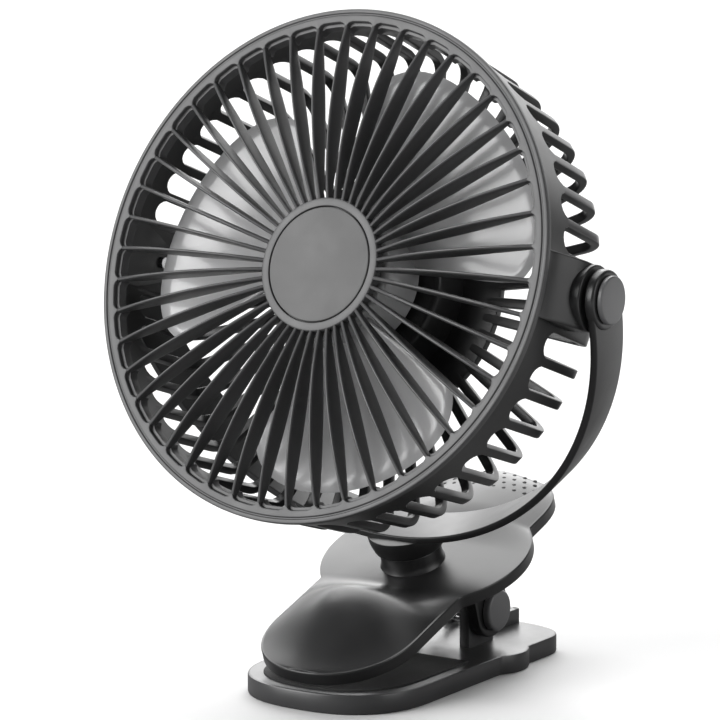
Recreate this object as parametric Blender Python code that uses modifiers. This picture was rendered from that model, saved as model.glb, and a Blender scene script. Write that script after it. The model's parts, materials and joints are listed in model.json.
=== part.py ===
"""Clip-on desk fan: a round caged fan head that tilts in a U yoke, which swivels on a spring clip.

The origin is on the underside of the base plate, below the head's tilt axis. +X is the tilt axis,
-Y is the side that the fan blows to, and +Z is up. Lengths are in metres.
"""

import math

import bmesh
import bpy
from mathutils import Matrix, Vector

MM = 0.001
GAP = 0.3 * MM  # between pieces that touch or are cut to fit each other

# Pose at rest.
HEAD_ELEVATION = math.radians(18.5)  # the fan axis points this far above level
CLIP_SLOPE = math.radians(19.3)  # the closed upper jaw rises this steeply to the rear

# Base plate, which is the lower jaw.
BASE_FRONT = 31.0 * MM  # ahead of the origin
BASE_REAR = 78.0 * MM  # behind the origin
BASE_HALF_WIDTH = 28.4 * MM
BASE_THICKNESS = 5.8 * MM
BASE_FRONT_CURVE = 29.0 * MM
BASE_REAR_CURVE = 15.0 * MM
BUMP_RADIUS = 13.0 * MM
BUMP_STAND_OUT = 2.7 * MM
BUMP_AHEAD = 2.0 * MM  # of the hinge axis
REST_LENGTH = 13.0 * MM
REST_WIDTH = 20.0 * MM
REST_HEIGHT = 4.5 * MM
REST_WALL = 2.0 * MM
REST_BACK = 31.0 * MM  # rear face of the spring rest, behind the hinge
PAD_THICKNESS = 0.9 * MM
PAD_MARGIN = 4.0 * MM  # inside the edge of the jaw that the pad is on
LOWER_PAD_AHEAD = 22.0 * MM  # rear edge of the lower pad, ahead of the hinge axis

# Clip hinge.
HINGE_BEHIND = 46.0 * MM
MOUTH_GAP = 1.05 * MM  # under the front edge of the closed upper jaw
PIN_RADIUS = 2.5 * MM
EAR_RADIUS = 8.5 * MM
BASE_EAR_RADIUS = 7.0 * MM
EAR_THICKNESS = 3.7 * MM
BASE_EAR_INSIDE = 11.5 * MM
CAP_RADIUS = 6.4 * MM
CAP_THICKNESS = 2.6 * MM
SPRING_TURNS = 5
SPRING_RADIUS = 4.4 * MM
SPRING_WIRE = 0.8 * MM
SPRING_PITCH = 2.0 * MM
SPRING_LEG = 19.0 * MM

# Upper jaw. Its rim plane is where the domed top meets the upright skirt.
JAW_RISE = 18.5 * MM  # rim plane above the hinge axis, square to the slope
NECK_AHEAD = 9.1 * MM  # swivel axis ahead of the hinge axis, along the slope
JAW_WALL = 1.8 * MM
SKIRT = 3.9 * MM
FRONT_REACH = 63.3 * MM  # from the swivel axis
FRONT_HALF_WIDTH = 24.8 * MM
FRONT_CURVE = 25.4 * MM
WING_HALF_WIDTH = 33.0 * MM
WING_HALF_LENGTH = 32.0 * MM
WING_BEHIND_NECK = 7.1 * MM
LEVER_REACH = 56.5 * MM
LEVER_HALF_WIDTH = 24.9 * MM
LEVER_CURVE = 25.3 * MM
FRONT_DOME = 8.0 * MM
LEVER_DOME = 3.0 * MM
CROWN = 1.2 * MM
UNDERPLATE = 1.6 * MM
UNDERPLATE_PLAY = 1.3 * MM  # inside the skirt, all round
JAW_SCREW_X = 17.0 * MM
JAW_SCREW_AHEAD = 33.0 * MM
JAW_SCREW_BEHIND = 34.0 * MM
SCREW_RADIUS = 1.1 * MM
SCREW_HEAD_RADIUS = 2.2 * MM
SCREW_HEAD = 1.2 * MM
SCREW_LENGTH = 6.0 * MM
BATTERY = (24.0 * MM, 20.0 * MM, 3.0 * MM)
BATTERY_SET_BACK = 17.5 * MM  # from the front end of the jaw

# Neck and yoke.
NECK_BOSS_RADIUS = 9.4 * MM
NECK_BOSS_HEIGHT = 6.4 * MM
COLLAR_TOP_RADIUS = 12.0 * MM
COLLAR_FOOT_RADIUS = 10.6 * MM
COLLAR_HEIGHT = 5.2 * MM
STEM_RADIUS = 5.0 * MM
YOKE_CLEARANCE = 3.1 * MM  # from the sphere that the turning head sweeps
YOKE_THICKNESS = 2.2 * MM
YOKE_WIDTH = 16.0 * MM
ARM_END_RADIUS = 8.4 * MM
ARM_END_STAND_OUT = 0.6 * MM
PIVOT_CAP_RADIUS = 6.8 * MM
PIVOT_CAP_THICKNESS = 1.5 * MM
PIVOT_SCREW_RADIUS = 1.7 * MM
PIVOT_SCREW_HEAD = 3.6 * MM
COUNTERBORE_RADIUS = 5.4 * MM

# Fan head, along the fan axis from the tilt axis.
RING_RADIUS = 75.0 * MM
RING_WIDTH = 4.1 * MM
RING_THICKNESS = 2.0 * MM
RING_AHEAD = 21.0 * MM
HEAD_DEPTH = 41.0 * MM
DRUM_INSET = 1.4 * MM
DRUM_TAPER = 1.2 * MM
DRUM_WALL = 2.6 * MM
DRUM_CORNER = 8.0 * MM
BAND_DEPTH = 12.5 * MM
BAR_COUNT = 46
BAR_WIDTH = 2.8 * MM
SPOKE_WIDTH = 1.2 * MM
SPOKE_BULGE = 3.6 * MM
SPOKE_DEPTHS = (1.6 * MM, 5.5 * MM, 6.0 * MM, 4.0 * MM)  # at even steps from the ring to the boss
BOSS_RADIUS = 19.6 * MM
BOSS_THICKNESS = 3.2 * MM
BOSS_SET_BACK = 1.4 * MM
BADGE_RADIUS = 16.7 * MM
BADGE_THICKNESS = 1.0 * MM
FAIRING_SLOTS = 1  # slots left out on each side of each pivot
PIVOT_BOSS_RADIUS = 9.5 * MM
HOUSING_RADIUS = 25.5 * MM
HOUSING_AHEAD_OF_REAR = 15.0 * MM
HOUSING_WALL = 1.5 * MM
REAR_DISH = 1.5 * MM  # how far the housing stands out behind the drum
REAR_DISC_RADIUS = 38.0 * MM  # plain disc round the housing, inside the slots
COVER_DOME = 4.5 * MM
COVER_WALL = 1.6 * MM
BUTTON_RADIUS = 5.0 * MM
BUTTON_STAND_OUT = 1.2 * MM
BUTTON_TRAVEL = 0.5 * MM
COVER_SCREW_ANGLES = (90, 210, 330)
MOTOR_SCREW_CIRCLE = 8.5 * MM

# Impeller and motor.
TIP_CLEARANCE = 6.5 * MM
BLADE_COUNT = 3
BLADE_ARC = math.radians(84.0)
BLADE_PHASE = math.radians(165.0)
BLADE_THICKNESS = 1.5 * MM
BLADE_FRONT = 13.0 * MM
BLADE_DEPTH = 15.5 * MM
HUB_RADIUS = 20.0 * MM
HUB_WALL = 1.6 * MM
HUB_FRONT = 14.6 * MM
SHAFT_RADIUS = 1.5 * MM
SHAFT_RUNNING_GAP = 0.05 * MM
BEARING_RADIUS = 3.5 * MM
BEARING_WIDTH = 2.5 * MM
TUBE_WALL = 1.2 * MM
ROTOR_RADIUS = 16.0 * MM
ROTOR_WALL = 0.9 * MM
MAGNET = 1.4 * MM
AIR_GAP = 0.4 * MM
STATOR_HEIGHT = 6.0 * MM
STATOR_SLOTS = 9

# Places that follow from the sizes above. The jaw's are along its slope from the hinge axis.
SPRING_COIL_END = SPRING_TURNS * SPRING_PITCH / 2
JAW_FRONT = -NECK_AHEAD - FRONT_REACH
HINGE_ABOVE_BASE = MOUTH_GAP - JAW_FRONT * math.sin(CLIP_SLOPE) - (JAW_RISE - SKIRT) * math.cos(CLIP_SLOPE)
JAW_REAR = -NECK_AHEAD + LEVER_REACH
WING_MIDDLE = -NECK_AHEAD + WING_BEHIND_NECK
BUMP_MIDDLE = HINGE_BEHIND - BUMP_AHEAD
COVER_SCREW_CIRCLE = HOUSING_RADIUS - HOUSING_WALL - 4 * MM
BAR_PITCH = 2 * math.pi / BAR_COUNT
SWEEP_RADIUS = math.hypot(RING_RADIUS, RING_AHEAD)
YOKE_INNER = SWEEP_RADIUS + YOKE_CLEARANCE
YOKE_OUTER = YOKE_INNER + YOKE_THICKNESS
NECK_LENGTH = NECK_BOSS_HEIGHT + GAP + COLLAR_HEIGHT
REAR_FACE = RING_AHEAD - HEAD_DEPTH
DRUM_RADIUS = RING_RADIUS - DRUM_INSET
DRUM_REAR_RADIUS = DRUM_RADIUS - DRUM_TAPER
HOUSING_FRONT = REAR_FACE + HOUSING_AHEAD_OF_REAR
YOKE_STEPS = 24
YOKE_FLATS = YOKE_INNER * math.cos(math.pi / 2 / YOKE_STEPS)  # the band is a polygon
PIVOT_BOSS_END = math.sqrt((YOKE_FLATS - GAP) ** 2 - PIVOT_BOSS_RADIUS**2)

PLASTIC = ((0.045, 0.045, 0.046), 0.42, 0.0)
BADGE_PLASTIC = ((0.07, 0.07, 0.071), 0.5, 0.0)
BLADE_PLASTIC = ((0.1, 0.1, 0.102), 0.25, 0.0)
RUBBER = ((0.02, 0.02, 0.02), 0.8, 0.0)
STEEL = ((0.6, 0.6, 0.61), 0.25, 1.0)
COPPER = ((0.6, 0.3, 0.15), 0.35, 1.0)
BOARD = ((0.02, 0.12, 0.05), 0.5, 0.0)
FOIL = ((0.5, 0.5, 0.52), 0.4, 0.6)
MAGNET_GREY = ((0.05, 0.05, 0.055), 0.6, 0.3)
LENS = ((0.6, 0.7, 0.75), 0.15, 0.0)

for old in list(bpy.data.objects):
    bpy.data.objects.remove(old, do_unlink=True)
parts = bpy.data.collections.new("clip_fan")
cutters = bpy.data.collections.new("cutters")
cutters.hide_render = True
bpy.context.scene.collection.children.link(parts)
bpy.context.scene.collection.children.link(cutters)


# Helpers.


def material(name, look):
    """A Principled material for one part."""
    colour, roughness, metallic = look
    made = bpy.data.materials.new(name)
    made.use_nodes = True
    shader = made.node_tree.nodes["Principled BSDF"]
    shader.inputs["Base Color"].default_value = (*colour, 1.0)
    shader.inputs["Roughness"].default_value = roughness
    shader.inputs["Metallic"].default_value = metallic
    return made


def frame(name, location, tilt, parent=None):
    """An empty that carries pieces. It turns about X only."""
    made = bpy.data.objects.new(name, None)
    made.location = location
    made.rotation_euler = (tilt, 0, 0)
    made.parent = parent
    parts.objects.link(made)
    return made


def add(name, mesh, look, parent, location=(0, 0, 0), rotation=(0, 0, 0)):
    """Makes one part from a mesh. With no look it is a cutter or a helper."""
    made = bpy.data.objects.new(name, mesh)
    made.location = location
    made.rotation_euler = rotation
    made.parent = parent
    if look is None:
        cutters.objects.link(made)
        made.hide_render = True
        made.display_type = "WIRE"
    else:
        parts.objects.link(made)
        mesh.materials.append(material(name, look))
    return made


def smooth(mesh, angle=35):
    """Shades a mesh smooth, apart from edges sharper than the angle."""
    mesh.shade_smooth()
    mesh.set_sharp_from_angle(angle=math.radians(angle))


def mesh_from(name, build):
    """A mesh that is filled by build(bm)."""
    bm = bmesh.new()
    build(bm)
    bmesh.ops.recalc_face_normals(bm, faces=bm.faces)
    mesh = bpy.data.meshes.new(name)
    bm.to_mesh(mesh)
    bm.free()
    return mesh


def turned(name, profile, look, parent, steps=48, **place):
    """A turned solid: a (radius, height) profile that runs down its outer side, spun about Z."""
    mesh = bpy.data.meshes.new(name)
    points = [(radius, 0, height) for radius, height in profile]
    closed = min(profile[0][0], profile[-1][0]) > 0
    edges = [(i, i + 1) for i in range(len(points) - 1)]
    if closed:
        edges.append((len(points) - 1, 0))
    mesh.from_pydata(points, edges, [])
    made = add(name, mesh, look, parent, **place)
    spin = made.modifiers.new("spin", "SCREW")
    spin.axis = "Z"
    spin.steps = steps
    spin.render_steps = steps
    spin.use_merge_vertices = True
    spin.merge_threshold = 0.00002
    spin.use_smooth_shade = True
    return made


def rod(name, radius, low, high, look, parent, steps=16, **place):
    """A plain cylinder along Z."""
    profile = [(0, high), (radius, high), (radius, low), (0, low)]
    return turned(name, profile, look, parent, steps, **place)


def tube(name, outer, inner, low, high, look, parent, steps=20, **place):
    """A plain tube along Z."""
    profile = [(inner, high), (outer, high), (outer, low), (inner, low)]
    return turned(name, profile, look, parent, steps, **place)


def block(name, low, high, look, parent, bevel=0.0, **place):
    """A box between two corners, with rounded edges if a bevel is given."""
    size = Vector(high) - Vector(low)
    middle = (Vector(high) + Vector(low)) / 2

    def build(bm):
        bmesh.ops.create_cube(bm, size=1, matrix=Matrix.Translation(middle) @ Matrix.Diagonal((*size, 1)))

    made = add(name, mesh_from(name, build), look, parent, **place)
    if bevel:
        edge = made.modifiers.new("edge", "BEVEL")
        edge.width = bevel
        edge.segments = 2
    return made


def outline_plate(name, points, low, high, look, parent, **place):
    """A flat outline in XY, made solid between two heights."""
    curve = bpy.data.curves.new(name, "CURVE")
    curve.dimensions = "2D"
    curve.fill_mode = "BOTH"
    curve.extrude = (high - low) / 2
    line = curve.splines.new("POLY")
    line.points.add(len(points) - 1)
    for point, (x, y) in zip(line.points, points):
        point.co = (x, y, 0, 1)
    line.use_cyclic_u = True
    flat = bpy.data.objects.new(name + "_outline", curve)
    parts.objects.link(flat)
    bpy.context.view_layer.update()
    graph = bpy.context.evaluated_depsgraph_get()
    mesh = bpy.data.meshes.new_from_object(flat.evaluated_get(graph))
    bpy.data.objects.remove(flat, do_unlink=True)
    bm = bmesh.new()
    bm.from_mesh(mesh)
    bmesh.ops.remove_doubles(bm, verts=bm.verts, dist=0.00001)
    bmesh.ops.translate(bm, verts=bm.verts, vec=(0, 0, (low + high) / 2))
    bmesh.ops.recalc_face_normals(bm, faces=bm.faces)
    bm.to_mesh(mesh)
    bm.free()
    mesh.materials.clear()
    return add(name, mesh, look, parent, **place)


def cut(target, tool):
    """Subtracts a cutter."""
    boolean = target.modifiers.new("cut_" + tool.name, "BOOLEAN")
    boolean.operation = "DIFFERENCE"
    boolean.object = tool


def join(target, tool):
    """Adds a helper solid."""
    boolean = target.modifiers.new("join_" + tool.name, "BOOLEAN")
    boolean.operation = "UNION"
    boolean.object = tool


def arc(centre, radius, start, end, steps):
    """Points on an arc, from one angle to the other, both ends included."""
    turns = [math.radians(start + (end - start) * i / steps) for i in range(steps + 1)]
    return [(centre[0] + radius * math.cos(t), centre[1] + radius * math.sin(t)) for t in turns]


def lobe(distance, reach, power):
    """1 up to the start of a rounded end, then falling to 0 over its reach as a superellipse."""
    share = min(max(distance / reach, 0.0), 1.0)
    return (1.0 - share**power) ** (1.0 / power)


def mirrored_outline(stations, half_width):
    """A closed outline about the Y axis, from its half width at each station."""
    right = [(half_width(y), y) for y in stations]
    left = [(-x, y) for x, y in reversed(right) if x > 0.1 * MM]
    return [point for point in right if point[0] > 0.1 * MM or point in (right[0], right[-1])] + left


def eased(low, high, count):
    """Stations from low to high that crowd towards both ends."""
    return [low + (high - low) * (1 - math.cos(math.pi * i / count)) / 2 for i in range(count + 1)]


def smoothstep(share):
    """0 to 1 with level ends."""
    share = min(max(share, 0.0), 1.0)
    return share * share * (3 - 2 * share)


# Frames. Each joint's axis passes through one of them.

ground = frame("ground", (0, 0, 0), 0)
hinge_height = BASE_THICKNESS + HINGE_ABOVE_BASE
hinge_axis = frame("hinge_axis", (0, HINGE_BEHIND, hinge_height), 0, ground)
jaw = frame("jaw_axis", (0, 0, 0), CLIP_SLOPE, hinge_axis)
swivel = frame("swivel_axis", (0, -NECK_AHEAD, JAW_RISE), 0, jaw)
yoke_frame = frame("yoke_frame", (0, 0, NECK_LENGTH + YOKE_OUTER), 0, swivel)
head = frame("tilt_axis", (0, 0, 0), math.pi / 2 - HEAD_ELEVATION - CLIP_SLOPE, yoke_frame)
spin_axis = frame("spin_axis", (0, 0, 0), 0, head)
ALONG_X = (0, math.pi / 2, 0)


# Base.


def base_half_width(y):
    """Half width of the base plate, with a round bump beside the hinge."""
    front = lobe(-BASE_FRONT + BASE_FRONT_CURVE - y, BASE_FRONT_CURVE, 2.5)
    rear = lobe(y - BASE_REAR + BASE_REAR_CURVE, BASE_REAR_CURVE, 3.0)
    body = BASE_HALF_WIDTH * min(front, rear)
    across = BUMP_RADIUS**2 - (y - BUMP_MIDDLE) ** 2
    if across <= 0:
        return body
    return max(body, BASE_HALF_WIDTH + BUMP_STAND_OUT - BUMP_RADIUS + math.sqrt(across))


def ear(name, inside, radius, reach, look, parent, side):
    """A plate on one side of the clip, with a round end on the hinge axis and reaching up or down."""
    around = arc((0, 0), radius, 0, 180, 10)
    if reach > 0:
        around = [(x, -y) for x, y in around]
    points = around + [(around[-1][0], reach), (around[0][0], reach)]
    low = side * inside if side > 0 else -inside - EAR_THICKNESS
    turn = (math.pi / 2, 0, math.pi / 2)
    return outline_plate(name, points, low, low + EAR_THICKNESS, look, parent, rotation=turn)


def build_base():
    """Base plate with two ears and the spring's rest, its pad, the hinge pin and its caps."""
    bump_edge = math.sqrt(BUMP_RADIUS**2 - (BUMP_RADIUS - BUMP_STAND_OUT) ** 2)
    front = eased(-BASE_FRONT, -BASE_FRONT + 2 * BASE_FRONT_CURVE, 20)[:11]
    bump = [BUMP_MIDDLE - bump_edge + 2 * bump_edge * i / 8 for i in range(9)]
    rear = eased(BASE_REAR - 2 * BASE_REAR_CURVE, BASE_REAR, 16)[8:]
    outline = mirrored_outline(front + bump + rear, base_half_width)
    plate = outline_plate("base_plate", outline, 0, BASE_THICKNESS, PLASTIC, ground)
    foot = -HINGE_ABOVE_BASE - BASE_THICKNESS / 2
    for side, label in ((-1, "left"), (1, "right")):
        name = "base_ear_" + label
        join(plate, ear(name, BASE_EAR_INSIDE, BASE_EAR_RADIUS, foot, None, hinge_axis, side))
    rest_low = (-REST_WIDTH / 2, REST_BACK - REST_LENGTH, foot)
    rest_high = (REST_WIDTH / 2, REST_BACK, REST_HEIGHT - HINGE_ABOVE_BASE)
    join(plate, block("spring_rest", rest_low, rest_high, None, hinge_axis))
    pocket_low = (rest_low[0] + REST_WALL, rest_low[1] + REST_WALL, -HINGE_ABOVE_BASE)
    pocket_high = (rest_high[0] - REST_WALL, rest_high[1] - REST_WALL, 0)
    cut(plate, block("spring_rest_pocket", pocket_low, pocket_high, None, hinge_axis))
    mouth_low = (-SPRING_WIRE - 2 * GAP - SPRING_COIL_END, rest_low[1] - MM, GAP - HINGE_ABOVE_BASE)
    mouth_high = (mouth_low[0] + 2 * SPRING_WIRE + 4 * GAP, rest_low[1] + 2 * REST_WALL, 0)
    cut(plate, block("spring_rest_mouth", mouth_low, mouth_high, None, hinge_axis))
    hole = PIN_RADIUS + GAP
    half = BASE_EAR_INSIDE + EAR_THICKNESS + MM
    cut(plate, rod("base_pin_hole", hole, -half, half, None, hinge_axis, rotation=ALONG_X))

    pad_front = -BASE_FRONT + PAD_MARGIN
    pad_stations = eased(pad_front, HINGE_BEHIND - LOWER_PAD_AHEAD, 14)
    pad_half = BASE_HALF_WIDTH - PAD_MARGIN
    pad_curve = BASE_FRONT_CURVE - PAD_MARGIN / 2
    pad = mirrored_outline(pad_stations, lambda y: pad_half * lobe(pad_front + pad_curve - y, pad_curve, 2.5))
    top = BASE_THICKNESS - PAD_THICKNESS / 2
    recess = outline_plate("pad_recess", grown(pad, GAP), top - GAP, BASE_THICKNESS + MM, None, ground)
    cut(plate, recess)
    outline_plate("lower_pad", pad, top, top + PAD_THICKNESS, RUBBER, ground)

    pin_half = BASE_EAR_INSIDE + 2 * EAR_THICKNESS + GAP
    rod("hinge_pin", PIN_RADIUS, -pin_half, pin_half, STEEL, hinge_axis, rotation=ALONG_X)
    for side, label in ((-1, "left"), (1, "right")):
        low = pin_half + GAP
        high = low + CAP_THICKNESS
        profile = [(0, high), (CAP_RADIUS * 0.8, high - 0.1 * MM), (CAP_RADIUS * 0.95, high - 0.5 * MM)]
        profile += [(CAP_RADIUS, high - 1.1 * MM), (CAP_RADIUS, low), (0, low)]
        turn = (0, side * math.pi / 2, 0)
        turned("hinge_cap_" + label, profile, PLASTIC, hinge_axis, 24, rotation=turn)


def grown(outline, margin):
    """A convex outline moved outwards from its middle by about the margin."""
    middle = sum((Vector(point) for point in outline), Vector((0, 0))) / len(outline)
    moved = []
    for point in outline:
        ray = Vector(point) - middle
        moved.append(tuple(Vector(point) + ray.normalized() * margin))
    return moved


def build_clip_spring():
    """Torsion spring round the hinge pin. One leg presses on the base, the other on the upper jaw."""
    steps = 8
    start = math.radians(-60)
    reach = JAW_RISE - SKIRT - SPRING_WIRE - 2 * GAP
    leg_top = Vector((0, SPRING_LEG, reach))
    leg_top.rotate(Matrix.Rotation(CLIP_SLOPE, 3, "X"))
    leg_low = Vector((0, SPRING_LEG, SPRING_WIRE + 2 * GAP - HINGE_ABOVE_BASE))
    angle_top = math.atan2(leg_top.z, leg_top.y) + math.acos(SPRING_RADIUS / leg_top.length)
    sweep = SPRING_TURNS * 2 * math.pi + angle_top - start
    count = round(sweep / (2 * math.pi) * steps)
    points = [(-SPRING_COIL_END, leg_low.y, leg_low.z)]
    for i in range(count + 1):
        angle = start + sweep * i / count
        x = -SPRING_COIL_END + 2 * SPRING_COIL_END * i / count
        points.append((x, SPRING_RADIUS * math.cos(angle), SPRING_RADIUS * math.sin(angle)))
    points.append((SPRING_COIL_END, leg_top.y, leg_top.z))
    curve = bpy.data.curves.new("clip_spring", "CURVE")
    curve.dimensions = "3D"
    curve.bevel_depth = SPRING_WIRE
    curve.bevel_resolution = 2
    curve.use_fill_caps = True
    line = curve.splines.new("POLY")
    line.points.add(len(points) - 1)
    for point, place in zip(line.points, points):
        point.co = (*place, 1)
    add("clip_spring", curve, STEEL, hinge_axis)


# Upper jaw. Its own frame has the hinge axis at the origin and Y up the slope.


def jaw_half_width(y):
    """Half width of the jaw: the widest of its front lobe, its wings and its lever."""
    front = FRONT_HALF_WIDTH * lobe(JAW_FRONT + FRONT_CURVE - y, FRONT_CURVE, 2.2)
    lever = LEVER_HALF_WIDTH * lobe(y - JAW_REAR + LEVER_CURVE, LEVER_CURVE, 3.0)
    off = (y - WING_MIDDLE) / WING_HALF_LENGTH
    wing = WING_HALF_WIDTH * math.sqrt(max(1 - off * off, 0.0))
    return max(min(front, lever), wing if abs(off) < 0.75 else 0.0)


def jaw_height(share, y):
    """Height of the jaw's top above its rim plane, at a share of its half width."""
    along = (y - JAW_FRONT) / FRONT_REACH
    front = FRONT_DOME * smoothstep(along / 0.5) * (1 - smoothstep((along - 0.5) / 0.28))
    lever = LEVER_DOME * smoothstep((y - 4 * MM) / (20 * MM)) * lobe(y - 24 * MM, JAW_REAR - 24 * MM, 2.0)
    across = 1 - share * share
    return CROWN * across * lobe(-y - 40 * MM, -JAW_FRONT - 40 * MM, 2.0) + (front + lever) * across


def jaw_stations():
    """Stations along the jaw, close together where its outline turns."""
    front = eased(JAW_FRONT, JAW_FRONT + 2 * FRONT_CURVE, 14)[:8]
    notch = WING_HALF_LENGTH * math.sqrt(1 - (FRONT_HALF_WIDTH / WING_HALF_WIDTH) ** 2)
    wing = [WING_MIDDLE - notch + 2 * notch * i / 8 for i in range(9)]
    rear = eased(JAW_REAR - 2 * LEVER_CURVE, JAW_REAR, 12)[6:]
    neck_side = [(front[-1] + wing[0]) / 2]
    return front + neck_side + wing + rear


def build_jaw_shell():
    """The domed cover of the upper jaw, open below, with screw posts and a boss for the neck."""
    across = 10
    shares = [math.sin(math.pi / 2 * (2 * i / across - 1)) for i in range(across + 1)]
    stations = jaw_stations()[1:-1]

    def build(bm):
        rows = []
        for y in stations:
            half = jaw_half_width(y)
            row = [(-half, y, JAW_RISE - SKIRT)]
            row += [(half * s, y, JAW_RISE + jaw_height(s, y)) for s in shares]
            row.append((half, y, JAW_RISE - SKIRT))
            rows.append([bm.verts.new(point) for point in row])
        for first, second in zip(rows, rows[1:]):
            for i in range(len(first) - 1):
                bm.faces.new((first[i], second[i], second[i + 1], first[i + 1]))
        for row, y in ((rows[0], JAW_FRONT), (rows[-1], JAW_REAR)):
            top = bm.verts.new((0, y, JAW_RISE))
            foot = bm.verts.new((0, y, JAW_RISE - SKIRT))
            for i in range(1, len(row) - 2):
                bm.faces.new((row[i], row[i + 1], top))
            bm.faces.new((row[0], row[1], top, foot))
            bm.faces.new((row[-2], row[-1], foot, top))

    shell = add("jaw_shell", mesh_from("jaw_shell", build), PLASTIC, jaw)
    wall = shell.modifiers.new("wall", "SOLIDIFY")
    wall.thickness = JAW_WALL
    wall.offset = -1
    smooth(shell.data)
    boss_foot = JAW_RISE + CROWN - JAW_WALL / 2
    boss_top = JAW_RISE + NECK_BOSS_HEIGHT
    flare = MM
    profile = [(0, boss_top), (NECK_BOSS_RADIUS, boss_top), (NECK_BOSS_RADIUS, boss_foot + 2 * flare)]
    profile += [(NECK_BOSS_RADIUS + flare, boss_foot), (0, boss_foot)]
    place = (0, -NECK_AHEAD, 0)
    join(shell, turned("neck_boss", profile, None, jaw, 32, location=place))
    hole = STEM_RADIUS + GAP
    cut(shell, rod("stem_hole", hole, JAW_RISE - 6 * MM, boss_top + MM, None, jaw, location=place))
    foot = JAW_RISE - SKIRT + UNDERPLATE + 2 * GAP
    for number, (x, y, bore_top) in enumerate(jaw_screw_places(), 1):
        post_top = bore_top + MM
        post = rod(f"screw_post_{number}", 2 * SCREW_RADIUS, foot, post_top, None, jaw, 12, location=(x, y, 0))
        join(shell, post)
        bore = SCREW_RADIUS + GAP / 2
        cut(shell, rod(f"screw_bore_{number}", bore, foot - MM, bore_top, None, jaw, 12, location=(x, y, 0)))


def jaw_screw_places():
    """Where the underplate is screwed to the shell, and the top of each screw's bore."""
    places = []
    for y in (-NECK_AHEAD - JAW_SCREW_AHEAD, -NECK_AHEAD + JAW_SCREW_BEHIND):
        surface = JAW_RISE + jaw_height(JAW_SCREW_X / jaw_half_width(y), y)
        places += [(side * JAW_SCREW_X, y, surface - 0.7 * JAW_WALL - MM) for side in (-1, 1)]
    return places


def jaw_inner_outline(margin, rear, count):
    """The jaw's outline drawn in by a margin, from its front end to a station."""
    length = JAW_REAR - JAW_FRONT
    middle = (JAW_REAR + JAW_FRONT) / 2
    shrink = 1 - 2 * margin / length

    def half_width(y):
        outer = jaw_half_width(middle + (y - middle) / shrink)
        return max(outer - margin, 0.0)

    return mirrored_outline(eased(JAW_FRONT + margin, rear, count), half_width)


def build_jaw_underside():
    """The plate that closes the jaw from below, with two ears, and the rubber pad on it."""
    low = JAW_RISE - SKIRT + GAP
    high = low + UNDERPLATE
    inset = JAW_WALL + UNDERPLATE_PLAY
    outline = jaw_inner_outline(inset, JAW_REAR - inset, 26)
    plate = outline_plate("jaw_underplate", outline, low, high, PLASTIC, jaw)
    inside = BASE_EAR_INSIDE + EAR_THICKNESS + GAP
    for side, label in ((-1, "left"), (1, "right")):
        join(plate, ear("jaw_ear_" + label, inside, EAR_RADIUS, high - GAP, None, jaw, side))
    half = inside + EAR_THICKNESS + MM
    cut(plate, rod("jaw_pin_hole", PIN_RADIUS + GAP, -half, half, None, jaw, rotation=ALONG_X))
    place = (0, -NECK_AHEAD, 0)
    neck_hole = STEM_RADIUS + 4 * MM
    cut(plate, rod("underplate_stem_hole", neck_hole, low - MM, high + MM, None, jaw, location=place))
    for number, (x, y, bore_top) in enumerate(jaw_screw_places(), 1):
        hole = SCREW_RADIUS + GAP
        tool = rod(f"underplate_hole_{number}", hole, low - MM, high + MM, None, jaw, 12, location=(x, y, 0))
        cut(plate, tool)
        top = bore_top - GAP
        profile = [(0, top), (SCREW_RADIUS, top), (SCREW_RADIUS, low - GAP)]
        profile += [(SCREW_HEAD_RADIUS, low - GAP), (SCREW_HEAD_RADIUS, low - SCREW_HEAD), (0, low - SCREW_HEAD)]
        turned(f"jaw_screw_{number}", profile, STEEL, jaw, 12, location=(x, y, 0))
    battery_low = (-BATTERY[0] / 2, JAW_FRONT + BATTERY_SET_BACK, high + 2 * GAP)
    battery_high = (BATTERY[0] / 2, battery_low[1] + BATTERY[1], battery_low[2] + BATTERY[2])
    block("battery_cell", battery_low, battery_high, FOIL, jaw, 0.8 * MM)


def build_upper_pad():
    """Ribbed rubber pad under the front of the jaw."""
    top = JAW_RISE - SKIRT - GAP / 2
    inset = JAW_WALL + PAD_MARGIN - MM
    rear = -NECK_AHEAD - JAW_SCREW_AHEAD - 2 * SCREW_HEAD_RADIUS
    outline = jaw_inner_outline(inset, rear, 16)
    outline_plate("upper_pad", outline, top - PAD_THICKNESS / 2, top, RUBBER, jaw)


# Yoke. Its frame is at the tilt axis, with Z along the swivel axis.


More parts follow.
